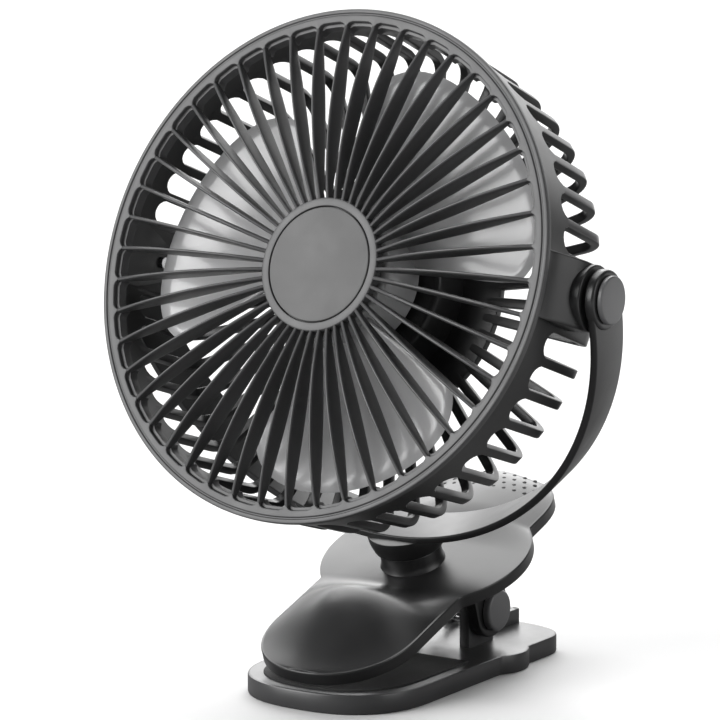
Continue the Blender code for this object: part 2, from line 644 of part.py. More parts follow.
def build_yoke():
    """U-shaped band with round arm ends, a tapered collar and the stem that turns in the jaw."""
    outer = arc((0, 0), YOKE_OUTER, 180, 360, YOKE_STEPS)
    inner = arc((0, 0), YOKE_INNER, 360, 180, YOKE_STEPS)
    half = YOKE_WIDTH / 2
    turn = (math.pi / 2, 0, 0)
    yoke = outline_plate("yoke", outer + inner, -half, half, PLASTIC, yoke_frame, rotation=turn)
    arm_outer = YOKE_OUTER + ARM_END_STAND_OUT
    for side, label in ((-1, "left"), (1, "right")):
        turn = (0, side * math.pi / 2, 0)
        end = rod("arm_end_" + label, ARM_END_RADIUS, YOKE_INNER, arm_outer, None, yoke_frame, 24, rotation=turn)
        join(yoke, end)
    foot = -YOKE_OUTER - COLLAR_HEIGHT
    stem_end = -YOKE_OUTER - NECK_LENGTH - 1.2 * MM
    top = -YOKE_INNER - YOKE_THICKNESS / 2
    profile = [(0, top), (COLLAR_TOP_RADIUS, top), (COLLAR_TOP_RADIUS - 0.4 * MM, -YOKE_OUTER - 1.5 * MM)]
    profile += [(COLLAR_FOOT_RADIUS, foot), (STEM_RADIUS, foot), (STEM_RADIUS, stem_end), (0, stem_end)]
    join(yoke, turned("collar", profile, None, yoke_frame, 32))
    bore = SCREW_RADIUS + GAP
    cut(yoke, rod("stem_bore", bore, stem_end - MM, foot, None, yoke_frame, 16))
    for side, label in ((-1, "left"), (1, "right")):
        turn = (0, side * math.pi / 2, 0)
        hole = rod("pivot_hole_" + label, PIVOT_SCREW_RADIUS + GAP, YOKE_INNER - MM, arm_outer + MM, None,
                   yoke_frame, rotation=turn)
        cut(yoke, hole)
        seat = YOKE_INNER + 1.2 * MM
        wide = rod("counterbore_" + label, COUNTERBORE_RADIUS, seat, arm_outer + MM, None, yoke_frame,
                   20, rotation=turn)
        cut(yoke, wide)
        head_top = seat + GAP + 1.1 * MM
        shank_end = SWEEP_RADIUS - 9 * MM
        profile = [(0, head_top), (PIVOT_SCREW_HEAD, head_top), (PIVOT_SCREW_HEAD, seat + GAP)]
        profile += [(PIVOT_SCREW_RADIUS, seat + GAP), (PIVOT_SCREW_RADIUS, shank_end), (0, shank_end)]
        turned("pivot_screw_" + label, profile, STEEL, yoke_frame, 20, rotation=turn)
        low = arm_outer + GAP
        high = low + PIVOT_CAP_THICKNESS
        radius = PIVOT_CAP_RADIUS
        spigot = COUNTERBORE_RADIUS - GAP
        profile = [(0, high), (radius - 0.5 * MM, high), (radius, high - 0.5 * MM), (radius, low)]
        profile += [(spigot, low), (spigot, low - MM), (spigot - MM, low - MM), (spigot - MM, low + GAP)]
        profile += [(0, low + GAP)]
        turned("pivot_cap_" + label, profile, PLASTIC, yoke_frame, 20, rotation=turn)
    build_swivel_fastener(stem_end)


def build_swivel_fastener(stem_end):
    """The washer and screw that hold the stem up against the inside of the jaw."""
    shell_inside = -YOKE_OUTER - NECK_LENGTH + CROWN - JAW_WALL / 2
    low = min(stem_end, shell_inside) - GAP - MM
    tube("swivel_washer", STEM_RADIUS + 3 * MM, SCREW_RADIUS + GAP, low, low + MM, STEEL, yoke_frame, 20)
    head_low = low - GAP - SCREW_HEAD
    top = stem_end + SCREW_LENGTH
    profile = [(0, top), (SCREW_RADIUS, top), (SCREW_RADIUS, low - GAP), (SCREW_HEAD_RADIUS, low - GAP)]
    profile += [(SCREW_HEAD_RADIUS, head_low), (0, head_low)]
    turned("swivel_screw", profile, STEEL, yoke_frame, 16)


# Fan head. Its frame is at the tilt axis, with Z along the fan axis to the front.


def slot_cutter(name, slots, inner, outer, width, low, high, parent):
    """One mesh of wedges that leaves parallel-sided bars between them."""
    half = BAR_PITCH / 2

    def corner(radius, middle, side):
        along = Vector((math.cos(half), math.sin(half))) * radius
        off = Vector((math.sin(half), -math.cos(half))) * width / 2
        spot = along + off
        spot.y *= side
        return Matrix.Rotation(middle, 2) @ spot

    def build(bm):
        for slot in slots:
            middle = (slot + 0.5) * BAR_PITCH
            ring = [(inner, -1), (outer, -1), (outer, 1), (inner, 1)]
            flat = [corner(radius, middle, side) for radius, side in ring]
            bottom = [bm.verts.new((point.x, point.y, low)) for point in flat]
            top = [bm.verts.new((point.x, point.y, high)) for point in flat]
            bm.faces.new(bottom[::-1])
            bm.faces.new(top)
            for i in range(4):
                j = (i + 1) % 4
                bm.faces.new((bottom[i], bottom[j], top[j], top[i]))

    return add(name, mesh_from(name, build), None, parent)


def spoke_front(radius):
    """How far ahead of the tilt axis the front edge of a spoke is, at a radius."""
    share = (radius - BOSS_RADIUS) / (RING_RADIUS - RING_WIDTH - BOSS_RADIUS)
    straight = RING_AHEAD - BOSS_SET_BACK + (BOSS_SET_BACK - 0.4 * MM) * share
    return straight + SPOKE_BULGE * 4 * share * (1 - share)


def build_front_grille():
    """The ring, the thin spokes and the middle boss, moulded in one, with a recess for the badge."""
    inner = RING_RADIUS - RING_WIDTH
    back = RING_AHEAD - RING_THICKNESS
    boss_front = RING_AHEAD - BOSS_SET_BACK
    spigot = DRUM_RADIUS - DRUM_WALL - GAP
    steps = len(SPOKE_DEPTHS) - 1
    radii = [BOSS_RADIUS + (inner - BOSS_RADIUS) * i / steps for i in range(steps + 1)]
    profile = [(0, boss_front)]
    profile += [(radius, spoke_front(radius)) for radius in radii]
    profile += [(inner + 0.2 * MM, RING_AHEAD), (RING_RADIUS - 0.4 * MM, RING_AHEAD)]
    profile += [(RING_RADIUS, RING_AHEAD - 0.4 * MM), (RING_RADIUS, back), (spigot, back)]
    profile += [(spigot, back - 2.5 * MM), (spigot - 1.2 * MM, back - 2.5 * MM)]
    for radius, depth in zip(reversed(radii), SPOKE_DEPTHS):
        profile.append((min(radius, spigot - 1.3 * MM), spoke_front(radius) - depth))
    profile.append((0, boss_front - BOSS_THICKNESS))
    grille = turned("front_grille", profile, PLASTIC, head, BAR_COUNT)
    slot_outer = inner - 0.4 * MM
    slots = slot_cutter("spoke_slots", range(BAR_COUNT), BOSS_RADIUS, slot_outer, SPOKE_WIDTH,
                        back - 10 * MM, RING_AHEAD + 10 * MM, head)
    cut(grille, slots)
    floor = boss_front - BADGE_THICKNESS - GAP
    recess = rod("badge_recess", BADGE_RADIUS + GAP, floor, boss_front + MM, None, head, 36)
    cut(grille, recess)
    low = floor + GAP
    edge = 0.3 * MM
    profile = [(0, boss_front), (BADGE_RADIUS - edge, boss_front), (BADGE_RADIUS, boss_front - edge)]
    profile += [(BADGE_RADIUS, low), (0, low)]
    turned("grille_badge", profile, BADGE_PLASTIC, head, 36)


def build_rear_cage():
    """Drum with a plain front band, bars that turn over the rear corner, and the motor housing."""
    rim = RING_AHEAD - RING_THICKNESS - GAP
    corner_top = REAR_FACE + DRUM_CORNER
    corner_middle = DRUM_REAR_RADIUS - DRUM_CORNER
    housing_inner = HOUSING_RADIUS - HOUSING_WALL
    floor_back = REAR_FACE - REAR_DISH
    floor_front = REAR_FACE + DRUM_WALL - REAR_DISH
    profile = [(0, HOUSING_FRONT), (HOUSING_RADIUS, HOUSING_FRONT), (HOUSING_RADIUS, floor_front)]
    profile += arc((corner_middle, corner_top), DRUM_CORNER - DRUM_WALL, -90, 0, 2)
    profile += [(DRUM_RADIUS - DRUM_WALL, rim), (DRUM_RADIUS, rim)]
    profile += arc((corner_middle, corner_top), DRUM_CORNER, 0, -90, 3)
    profile += [(HOUSING_RADIUS, floor_back), (housing_inner, floor_back)]
    profile += [(housing_inner, HOUSING_FRONT - 2 * MM), (0, HOUSING_FRONT - 2 * MM)]
    cage = turned("rear_cage", profile, PLASTIC, head, BAR_COUNT)
    side_count = BAR_COUNT // 2
    slots = [k for k in range(BAR_COUNT) if FAIRING_SLOTS <= k % side_count < side_count - FAIRING_SLOTS]
    band_rear = RING_AHEAD - BAND_DEPTH
    tool = slot_cutter("cage_slots", slots, REAR_DISC_RADIUS, RING_RADIUS + 5 * MM, BAR_WIDTH,
                       REAR_FACE - 10 * MM, band_rear, head)
    cut(cage, tool)
    for side, label in ((-1, "left"), (1, "right")):
        turn = (0, side * math.pi / 2, 0)
        start = DRUM_RADIUS - DRUM_TAPER - DRUM_WALL / 2 - MM
        end = PIVOT_BOSS_END
        boss = rod("pivot_boss_" + label, PIVOT_BOSS_RADIUS, start, end, None, head, 24, rotation=turn)
        join(cage, boss)
        bore = rod("pivot_bore_" + label, PIVOT_SCREW_RADIUS + GAP, start + 2 * MM - 8 * MM, end + MM, None,
                   head, rotation=turn)
        cut(cage, bore)
    for number, angle in enumerate(COVER_SCREW_ANGLES, 1):
        place = polar(COVER_SCREW_CIRCLE, angle)
        bore = rod(f"cover_screw_bore_{number}", SCREW_RADIUS + GAP, floor_back - MM, HOUSING_FRONT - MM,
                   None, head, 12, location=place)
        pillar = rod(f"cover_screw_pillar_{number}", 2.2 * SCREW_RADIUS, floor_back + 4 * MM,
                     HOUSING_FRONT - MM, None, head, 12, location=place)
        join(cage, pillar)
        cut(cage, bore)
    for number, side in enumerate((-1, 1), 1):
        place = (side * MOTOR_SCREW_CIRCLE, 0, 0)
        cut(cage, rod(f"motor_screw_hole_{number}", SCREW_RADIUS + GAP, HOUSING_FRONT - 4 * MM,
                      HOUSING_FRONT + MM, None, head, 12, location=place))


def polar(radius, degrees):
    """A place in the head's frame, on a circle round the fan axis."""
    angle = math.radians(degrees)
    return (radius * math.cos(angle), radius * math.sin(angle), 0)


def build_rear_cover():
    """The cover on the back of the motor housing, with its button, lens, port, board and screws."""
    back = REAR_FACE - REAR_DISH
    flange_top = back - GAP
    flange = HOUSING_RADIUS + 0.5 * MM
    spigot = HOUSING_RADIUS - HOUSING_WALL - GAP
    rear = flange_top - COVER_DOME
    floor = rear + COVER_WALL
    inside = spigot - 1.4 * MM
    hole = BUTTON_RADIUS + GAP
    fillet = 0.5 * MM
    profile = [(hole, floor), (inside - fillet, floor), (inside, floor + fillet), (inside, back + 3 * MM)]
    profile += [(spigot, back + 3 * MM), (spigot, flange_top), (flange, flange_top)]
    profile += [(flange, flange_top - 1.4 * MM), (flange - 2.2 * MM, rear + 0.5 * MM)]
    profile += [(flange - 5 * MM, rear), (hole, rear)]
    cover = turned("motor_cover", profile, PLASTIC, head, 30)
    edge = 0.4 * MM
    bottom = rear - BUTTON_STAND_OUT
    seat = floor + GAP
    profile = [(0, seat + MM), (BUTTON_RADIUS + MM, seat + MM), (BUTTON_RADIUS + MM, seat), (BUTTON_RADIUS, seat)]
    profile += [(BUTTON_RADIUS, bottom + edge), (BUTTON_RADIUS - edge, bottom), (0, bottom)]
    turned("power_button", profile, BADGE_PLASTIC, head, 24)
    board_back = back + 2.2 * MM
    board_front = board_back + 1.2 * MM
    board_radius = COVER_SCREW_CIRCLE - 2.6 * SCREW_RADIUS
    rod("control_board", board_radius, board_back, board_front, BOARD, head, 32)
    switch_low = seat + MM + BUTTON_TRAVEL + GAP
    block("tact_switch", (-3 * MM, -3 * MM, switch_low), (3 * MM, 3 * MM, board_back - GAP), MAGNET_GREY, head,
          0.3 * MM)
    lens_place = (0, 10 * MM, 0)
    cut(cover, rod("lens_hole", 1.3 * MM, rear - MM, floor + MM, None, head, 12, location=lens_place))
    rod("indicator_lens", 1.0 * MM, rear - 0.2 * MM, floor + 2 * MM, LENS, head, 12, location=lens_place)
    build_port(cover, rear, floor, board_back)
    for number, angle in enumerate(COVER_SCREW_ANGLES, 1):
        place = polar(COVER_SCREW_CIRCLE, angle)
        head_seat = rear + 0.9 * MM
        hole_radius = SCREW_RADIUS + GAP
        sink_radius = SCREW_HEAD_RADIUS + GAP
        profile = [(0, floor + MM), (hole_radius, floor + MM), (hole_radius, head_seat), (sink_radius, head_seat)]
        profile += [(sink_radius, rear - MM), (0, rear - MM)]
        cut(cover, turned(f"cover_hole_{number}", profile, None, head, 12, location=place))
        top = HOUSING_FRONT - 4 * MM
        profile = [(0, top), (SCREW_RADIUS, top), (SCREW_RADIUS, head_seat - GAP / 2)]
        profile += [(SCREW_HEAD_RADIUS, head_seat - GAP / 2), (SCREW_HEAD_RADIUS, rear + 0.1 * MM)]
        profile += [(0, rear + 0.1 * MM)]
        turned(f"cover_screw_{number}", profile, STEEL, head, 16, location=place)


def build_port(cover, rear, floor, board_back):
    """Charging socket that stands on the board and shows in a slot in the cover."""
    half = Vector((4.5 * MM, 1.65 * MM))
    middle = -11.5 * MM
    low = rear + 0.3 * MM
    slot_low = (-half.x - GAP, middle - half.y - GAP, rear - MM)
    slot_high = (half.x + GAP, middle + half.y + GAP, floor + MM)
    cut(cover, block("port_slot", slot_low, slot_high, None, head))
    box_low = (-half.x, middle - half.y, low)
    box_high = (half.x, middle + half.y, board_back - GAP)
    port = block("charge_port", box_low, box_high, STEEL, head)
    wall = 0.35 * MM
    tongue = 0.4 * MM
    for side, label in ((-1, "lower"), (1, "upper")):
        near = middle + side * tongue
        far = middle + side * (half.y - wall)
        pocket_low = (-half.x + wall, min(near, far), low - MM)
        pocket_high = (half.x - wall, max(near, far), low + 4.5 * MM)
        cut(port, block("port_pocket_" + label, pocket_low, pocket_high, None, head))


# Impeller and motor.


def build_motor():
    """Outer-rotor motor: mount tube and bearings on the housing, stator, rotor cup and shaft."""
    front = HOUSING_FRONT
    bore = BEARING_RADIUS + 0.05 * MM
    outer = bore + TUBE_WALL
    tube_top = HUB_FRONT - HUB_WALL - 3.5 * MM
    flange = MOTOR_SCREW_CIRCLE + 2.2 * MM
    flange_top = front + GAP + 1.5 * MM
    profile = [(bore, tube_top), (outer, tube_top), (outer, flange_top), (flange, flange_top)]
    profile += [(flange, front + GAP), (bore, front + GAP)]
    mount = turned("motor_mount", profile, STEEL, head, 24)
    for number, side in enumerate((-1, 1), 1):
        place = (side * MOTOR_SCREW_CIRCLE, 0, 0)
        cut(mount, rod(f"mount_hole_{number}", SCREW_RADIUS + GAP, front - MM, flange_top + MM, None, head, 12,
                       location=place))
        top = flange_top + 0.4 * MM
        low = front - 2 * MM - GAP
        profile = [(0, top), (SCREW_RADIUS, top), (SCREW_RADIUS, low), (SCREW_HEAD_RADIUS, low)]
        profile += [(SCREW_HEAD_RADIUS, low - SCREW_HEAD), (0, low - SCREW_HEAD)]
        turned(f"motor_screw_{number}", profile, STEEL, head, 12, location=place)
    race = SHAFT_RADIUS + SHAFT_RUNNING_GAP
    tube("front_bearing", BEARING_RADIUS, race, tube_top - BEARING_WIDTH, tube_top, STEEL, head, 18)
    low = front + GAP
    tube("rear_bearing", BEARING_RADIUS, race, low, low + BEARING_WIDTH, STEEL, head, 18)
    stator_outer = ROTOR_RADIUS - ROTOR_WALL - MAGNET - AIR_GAP
    stator_low = flange_top + 1.2 * MM
    stator_high = stator_low + STATOR_HEIGHT
    stator = tube("stator_core", stator_outer, outer + 0.05 * MM, stator_low, stator_high, COPPER, head, 27)

    def build(bm):
        for k in range(STATOR_SLOTS):
            place = Matrix.Rotation(2 * math.pi * (k + 0.5) / STATOR_SLOTS, 4, "Z")
            middle = Matrix.Translation(((stator_outer + outer) / 2 + 2 * MM, 0, (stator_low + stator_high) / 2))
            size = Matrix.Diagonal((stator_outer - outer, 1.6 * MM, STATOR_HEIGHT + 2 * MM, 1))
            bmesh.ops.create_cube(bm, size=1, matrix=place @ middle @ size)

    cut(stator, add("stator_slots", mesh_from("stator_slots", build), None, head))
    rotor_front = HUB_FRONT - HUB_WALL - GAP
    rotor_inner = ROTOR_RADIUS - ROTOR_WALL
    rotor_low = stator_low - 0.6 * MM
    shaft_hole = SHAFT_RADIUS + 0.05 * MM
    profile = [(shaft_hole, rotor_front), (ROTOR_RADIUS, rotor_front), (ROTOR_RADIUS, rotor_low)]
    profile += [(rotor_inner, rotor_low), (rotor_inner, rotor_front - ROTOR_WALL)]
    profile += [(shaft_hole, rotor_front - ROTOR_WALL)]
    turned("rotor_cup", profile, STEEL, spin_axis, 32)
    magnet_outer = rotor_inner - 0.05 * MM
    magnet_top = rotor_front - ROTOR_WALL - GAP
    tube("magnet_ring", magnet_outer, rotor_inner - MAGNET, rotor_low, magnet_top, MAGNET_GREY, spin_axis, 32)
    rod("motor_shaft", SHAFT_RADIUS, front + GAP + MM / 2, HUB_FRONT + 1.0 * MM, STEEL, spin_axis, 24)


def build_impeller():
    """Hub cup open to the rear and three wide twisted blades with rounded corners."""
    inside = ROTOR_RADIUS + GAP
    rear = BLADE_FRONT - BLADE_DEPTH - 0.5 * MM
    shaft_hole = SHAFT_RADIUS + 0.05 * MM
    edge = 1.5 * MM
    profile = [(shaft_hole, HUB_FRONT), (HUB_RADIUS - edge, HUB_FRONT), (HUB_RADIUS, HUB_FRONT - edge)]
    profile += [(HUB_RADIUS, rear), (inside, rear), (inside, HUB_FRONT - HUB_WALL)]
    profile += [(shaft_hole, HUB_FRONT - HUB_WALL)]
    hub = turned("impeller", profile, BLADE_PLASTIC, spin_axis, 36)
    tip = DRUM_REAR_RADIUS - DRUM_WALL - TIP_CLEARANCE
    root = (inside + HUB_RADIUS) / 2
    along, across = 6, 9

    def blade_point(i, j, phase):
        share = i / along
        turn = 2 * j / across - 1
        reach = tip - 9 * MM * abs(turn) ** 6
        radius = root + (reach - root) * share
        narrow = 0.80 + 0.20 * math.sin(math.pi * min(share * 1.15, 1.0) / 2)
        angle = phase + turn * BLADE_ARC / 2 * narrow
        height = BLADE_FRONT - BLADE_DEPTH * (1 - turn) / 2
        pitch = 0.72 + 0.28 * (1 - share)
        middle = BLADE_FRONT - BLADE_DEPTH / 2
        return (radius * math.cos(angle), radius * math.sin(angle), middle + (height - middle) * pitch)

    for number in range(BLADE_COUNT):
        phase = BLADE_PHASE + 2 * math.pi * number / BLADE_COUNT

        def build(bm, phase=phase):
            grid = [[bm.verts.new(blade_point(i, j, phase)) for j in range(across + 1)] for i in range(along + 1)]
            for lower, upper in zip(grid, grid[1:]):
                for j in range(across):
                    bm.faces.new((lower[j], upper[j], upper[j + 1], lower[j + 1]))

        blade = add(f"blade_{number + 1}", mesh_from(f"blade_{number + 1}", build), None, spin_axis)
        skin = blade.modifiers.new("skin", "SOLIDIFY")
        skin.thickness = BLADE_THICKNESS
        skin.offset = 0
        join(hub, blade)


build_base()
build_clip_spring()
build_jaw_shell()
build_jaw_underside()
build_upper_pad()
build_yoke()
build_front_grille()
build_rear_cage()
build_rear_cover()
build_motor()
build_impeller()
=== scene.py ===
"""Clip-on desk fan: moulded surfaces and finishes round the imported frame.

Lengths are in metres, in the frame's own axes: +X along the tilt axis, -Y the side that the fan
blows to, +Z up. Millimetres are written as a number times MM.
"""

import json
import math

import bmesh
import bpy
import numpy as np
from mathutils import Matrix, Vector


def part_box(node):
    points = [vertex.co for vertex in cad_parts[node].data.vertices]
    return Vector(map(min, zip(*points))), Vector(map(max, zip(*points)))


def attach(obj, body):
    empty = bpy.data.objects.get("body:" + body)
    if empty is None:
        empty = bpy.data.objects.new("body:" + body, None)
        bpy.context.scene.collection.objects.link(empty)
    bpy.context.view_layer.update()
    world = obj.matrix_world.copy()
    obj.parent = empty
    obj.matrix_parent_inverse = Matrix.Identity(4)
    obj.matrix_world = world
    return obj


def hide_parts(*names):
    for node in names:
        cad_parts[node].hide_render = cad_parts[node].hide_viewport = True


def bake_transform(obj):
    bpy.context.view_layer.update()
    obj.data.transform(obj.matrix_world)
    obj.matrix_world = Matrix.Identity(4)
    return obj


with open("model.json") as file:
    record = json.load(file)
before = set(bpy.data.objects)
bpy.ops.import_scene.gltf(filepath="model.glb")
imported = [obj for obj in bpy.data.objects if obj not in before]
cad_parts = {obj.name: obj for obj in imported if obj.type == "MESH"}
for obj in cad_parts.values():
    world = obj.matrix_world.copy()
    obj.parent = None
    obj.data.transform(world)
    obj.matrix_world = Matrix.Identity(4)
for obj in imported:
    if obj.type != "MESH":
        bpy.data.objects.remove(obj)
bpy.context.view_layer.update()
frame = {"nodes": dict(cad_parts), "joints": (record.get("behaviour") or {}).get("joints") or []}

bl_info = {
    "name": "Clip fan",
    "version": (1, 0, 0),
    "blender": (4, 5, 0),
    "location": "View3D > Sidebar > Clip fan",
    "description": "Builds the visible surfaces of a clip-on desk fan round its frame",
    "category": "Object",
}

MM = 0.001


# Frames of the fan's moving parts. Each is an origin and three axes as rows.


def joint_place(name):
    """A joint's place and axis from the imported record."""
    joint = next(joint for joint in frame["joints"] if joint["name"] == name)
    return np.array(joint["pos_m"], float), np.array(joint["axis"], float)


ACROSS = np.array((1.0, 0.0, 0.0))
HINGE, _ = joint_place("clip_hinge")
NECK, NECK_UP = joint_place("neck_swivel")
PIVOT, _ = joint_place("head_tilt")
_, FAN_FORWARD = joint_place("impeller_spin")
WORLD = (np.zeros(3), np.eye(3))
HINGE_FRAME = (HINGE, np.eye(3))
JAW_FRAME = (HINGE, np.array((ACROSS, np.cross(NECK_UP, ACROSS), NECK_UP)))
YOKE_FRAME = (PIVOT, JAW_FRAME[1])
HEAD_FRAME = (PIVOT, np.array((ACROSS, np.cross(FAN_FORWARD, ACROSS), FAN_FORWARD)))
AXIS = np.array((0.0, 0.0, 1.0))
SIDES = (("left", "-X"), ("right", "+X"))

# Sizes of the frame that the surfaces follow.
RING_RADIUS = 75.0 * MM
RING_WIDTH = 4.1 * MM
RING_THICKNESS = 2.0 * MM
RING_AHEAD = 21.0 * MM
REAR_FACE = -20.0 * MM
DRUM_RADIUS = 73.6 * MM
DRUM_REAR_RADIUS = 72.4 * MM
DRUM_WALL = 2.6 * MM
DRUM_CORNER = 8.0 * MM
BAND_REAR = 8.5 * MM
HOUSING_RADIUS = 25.5 * MM
HOUSING_FRONT = -5.0 * MM
REAR_DISH = 1.5 * MM
REAR_DISC_RADIUS = 38.0 * MM
RIB_COUNT = 46
RIB_PITCH = 2 * math.pi / RIB_COUNT
FAIRING_PITCHES = 1
PIVOT_BOSS_RADIUS = 9.5 * MM
BOSS_RADIUS = 19.6 * MM
BOSS_SET_BACK = 1.4 * MM
BADGE_RADIUS = 16.7 * MM
YOKE_INNER = math.hypot(RING_RADIUS, RING_AHEAD) + 3.1 * MM
YOKE_THICKNESS = 2.2 * MM
YOKE_OUTER = YOKE_INNER + YOKE_THICKNESS
YOKE_WIDTH = 16.0 * MM
ARM_END_STAND_OUT = 0.6 * MM
NECK_AHEAD = 9.1 * MM
JAW_RISE = 18.5 * MM
SKIRT = 3.9 * MM
JAW_FRONT_LENGTH = 63.3 * MM
JAW_FRONT = -NECK_AHEAD - JAW_FRONT_LENGTH
JAW_REAR = -NECK_AHEAD + 56.5 * MM
JAW_FRONT_HALF_WIDTH = 24.8 * MM
JAW_FRONT_CURVE = 25.4 * MM
LEVER_HALF_WIDTH = 24.9 * MM
LEVER_CURVE = 25.3 * MM
WING_HALF_WIDTH = 33.0 * MM
WING_REACH = 32.0 * MM
WING_AHEAD = 2.0 * MM
WING_SHARE = 0.75  # of the reach, where the wings give way to the front and the lever
FRONT_DOME = 8.0 * MM
LEVER_DOME = 3.0 * MM
LEVER_CREST = 24 * MM
JAW_CROWN = 1.2 * MM
CROWN_END = 40 * MM
EAR_THICKNESS = 3.7 * MM
BASE_FRONT = -31.0 * MM
BASE_REAR = 78.0 * MM
BASE_HALF_WIDTH = 28.4 * MM
BASE_FRONT_CURVE = 29.0 * MM
BASE_REAR_CURVE = 15.0 * MM
BASE_THICKNESS = 5.8 * MM
BUMP_RADIUS = 13.0 * MM
BUMP_AHEAD = 2.0 * MM
BUMP_STAND_OUT = 2.7 * MM


# Sizes and colours that a user would change.


def length(name, text, value):
    """A length property in metres."""
    return bpy.props.FloatProperty(
        name=name, description=text, default=value, min=0.0, unit="LENGTH", precision=5
    )


def turn_size(name, text, degrees):
    """An angle property, given in degrees."""
    angle = math.radians(degrees)
    return bpy.props.FloatProperty(name=name, description=text, default=angle, subtype="ANGLE")


def share(name, text, value):
    """A property from nought to one."""
    return bpy.props.FloatProperty(
        name=name, description=text, default=value, min=0.0, max=1.0, subtype="FACTOR"
    )


def colour(name, text, value):
    """A colour property. The three numbers are linear."""
    return bpy.props.FloatVectorProperty(
        name=name, description=text, default=value, size=3, min=0.0, max=1.0, subtype="COLOR"
    )


class CLIPFAN_PG_grille(bpy.types.PropertyGroup):
    rib_width: length("Rib width", "Thickness of each front rib", 1.25 * MM)
    rib_bulge: length("Rib bulge", "How far the ribs arch forward between boss and ring", 3.6 * MM)
    rib_depth: length("Rib depth", "Depth of a rib at its middle", 6.8 * MM)
    ring_width: length("Ring width", "Width of the front ring's face", RING_WIDTH)
    fillet: length("Fillet", "Radius where a rib meets the ring", 1.3 * MM)


class CLIPFAN_PG_cage(bpy.types.PropertyGroup):
    bar_width: length("Bar width", "Width of each bar of the drum", 2.8 * MM)
    bar_edge: length("Bar edge", "Rounding of the bars' edges", 0.5 * MM)


class CLIPFAN_PG_blades(bpy.types.PropertyGroup):
    count: bpy.props.IntProperty(name="Blades", description="Number of blades", default=3, min=2, max=7)
    thickness: length("Blade thickness", "Thickness of a blade at its middle", 1.4 * MM)
    arc: turn_size("Blade arc", "Angle that one blade covers", 84.0)
    phase: turn_size("Blade phase", "Angle of the first blade", 165.0)


class CLIPFAN_PG_clip(bpy.types.PropertyGroup):
    rim: length("Rim", "Rounding of the jaw's rim", 0.55 * MM)
    grip_dot: length("Grip dot", "Radius of each dot on the lever", 0.75 * MM)
    plate_edge: length("Plate edge", "Rounding of the base plate's edges", 0.6 * MM)


class CLIPFAN_PG_finish(bpy.types.PropertyGroup):
    shell: colour("Shell", "Colour of the moulded shell", (0.02, 0.02, 0.0205))
    shell_roughness: share("Shell roughness", "Roughness of the moulded shell", 0.32)
    badge: colour("Badge", "Colour of the middle disc", (0.12, 0.12, 0.12))
    blade: colour("Blade", "Colour of the blades", (0.47, 0.47, 0.475))
    grain: share("Grain", "Strength of the moulded grain", 0.06)


class CLIPFAN_PG_studio(bpy.types.PropertyGroup):
    distance: length("Camera distance", "From the tilt axis to the camera", 0.9)
    lens: bpy.props.FloatProperty(
        name="Lens", description="Focal length on a 36 mm sensor, in millimetres", default=155.72
    )
    azimuth: turn_size("Azimuth", "Camera's angle round the fan from its front", 33.95)
    elevation: turn_size("Elevation", "Camera's angle above level", 8.6)
    slide: bpy.props.FloatProperty(
        name="Slide", description="Camera's offset to the right", default=1.412 * MM, unit="LENGTH"
    )
    drop: bpy.props.FloatProperty(
        name="Drop", description="Camera's offset downwards", default=23.425 * MM, unit="LENGTH"
    )


# Surfaces. A part is (points, faces), and a piece is made from several parts.


def placed(points, place):
    """Local points carried into the world: origin + x * first axis + y * second + z * third."""
    origin, axes = place
    return origin + np.asarray(points, float) @ axes


def moved(part, place):
    """A part carried into the world."""
    return placed(part[0], place), part[1]


def meridian(out, radius, height):
    """Points at radii and heights, in the plane of one direction out from the fan's axis."""
    return out * radius[:, None] + AXIS * height[:, None]


def pinched(rows, first=True, last=True):
    """Rows with their first end, their last end or both closed to that end's middle."""
    ends = [np.broadcast_to(row.mean(1, keepdims=True), row.shape) for row in (rows[:1], rows[-1:])]
    return np.concatenate(ends[:1] * first + [rows] + ends[1:] * last)


def grid(points, wrap_rows=False, wrap_columns=False):
    """A surface over a (rows, columns, 3) grid. Wrapping joins the last row or column to the first."""
    rows, columns = points.shape[:2]
    row = np.arange(rows if wrap_rows else rows - 1)
    column = np.arange(columns if wrap_columns else columns - 1)
    low, left = np.meshgrid(row, column, indexing="ij")
    high = (low + 1) % rows
    right = (left + 1) % columns
    faces = np.stack((low, high, high, low), -1) * columns + np.stack((left, left, right, right), -1)
    return points.reshape(-1, 3), faces.reshape(-1, 4)


def joined(parts):
    """Several parts as one, with their faces renumbered."""
    points = np.concatenate([part[0] for part in parts])
    starts = np.cumsum([0] + [len(part[0]) for part in parts[:-1]])
    faces = np.concatenate([part[1] + start for part, start in zip(parts, starts)])
    return points, faces


def rounded(corners, radii, steps=3):
    """A closed outline with its corners eased: each corner is the parabola from one setback point to
    the next, (1 - t)^2 a + 2 t (1 - t) corner + t^2 b."""
    corners = np.asarray(corners, float)
    radii = np.broadcast_to(np.asarray(radii, float), len(corners))
    before = np.roll(corners, 1, 0) - corners
    after = np.roll(corners, -1, 0) - corners
    reach_before = np.linalg.norm(before, axis=1)
    reach_after = np.linalg.norm(after, axis=1)
    setback = np.minimum(radii, 0.48 * np.minimum(reach_before, reach_after))
    first = corners + before * (setback / reach_before)[:, None]
    last = corners + after * (setback / reach_after)[:, None]
    t = np.linspace(0, 1, steps + 1)[None, :, None]
    line = (1 - t) ** 2 * first[:, None] + 2 * t * (1 - t) * corners[:, None] + t**2 * last[:, None]
    return line.reshape(-1, 2)


def eased_ends(corners, radii, steps=3):
    """An open outline with its inner corners eased and its two ends kept."""
    inner = np.broadcast_to(radii, len(corners) - 2)
    return rounded(corners, np.concatenate(([0.0], inner, [0.0])), steps)[steps:-steps]


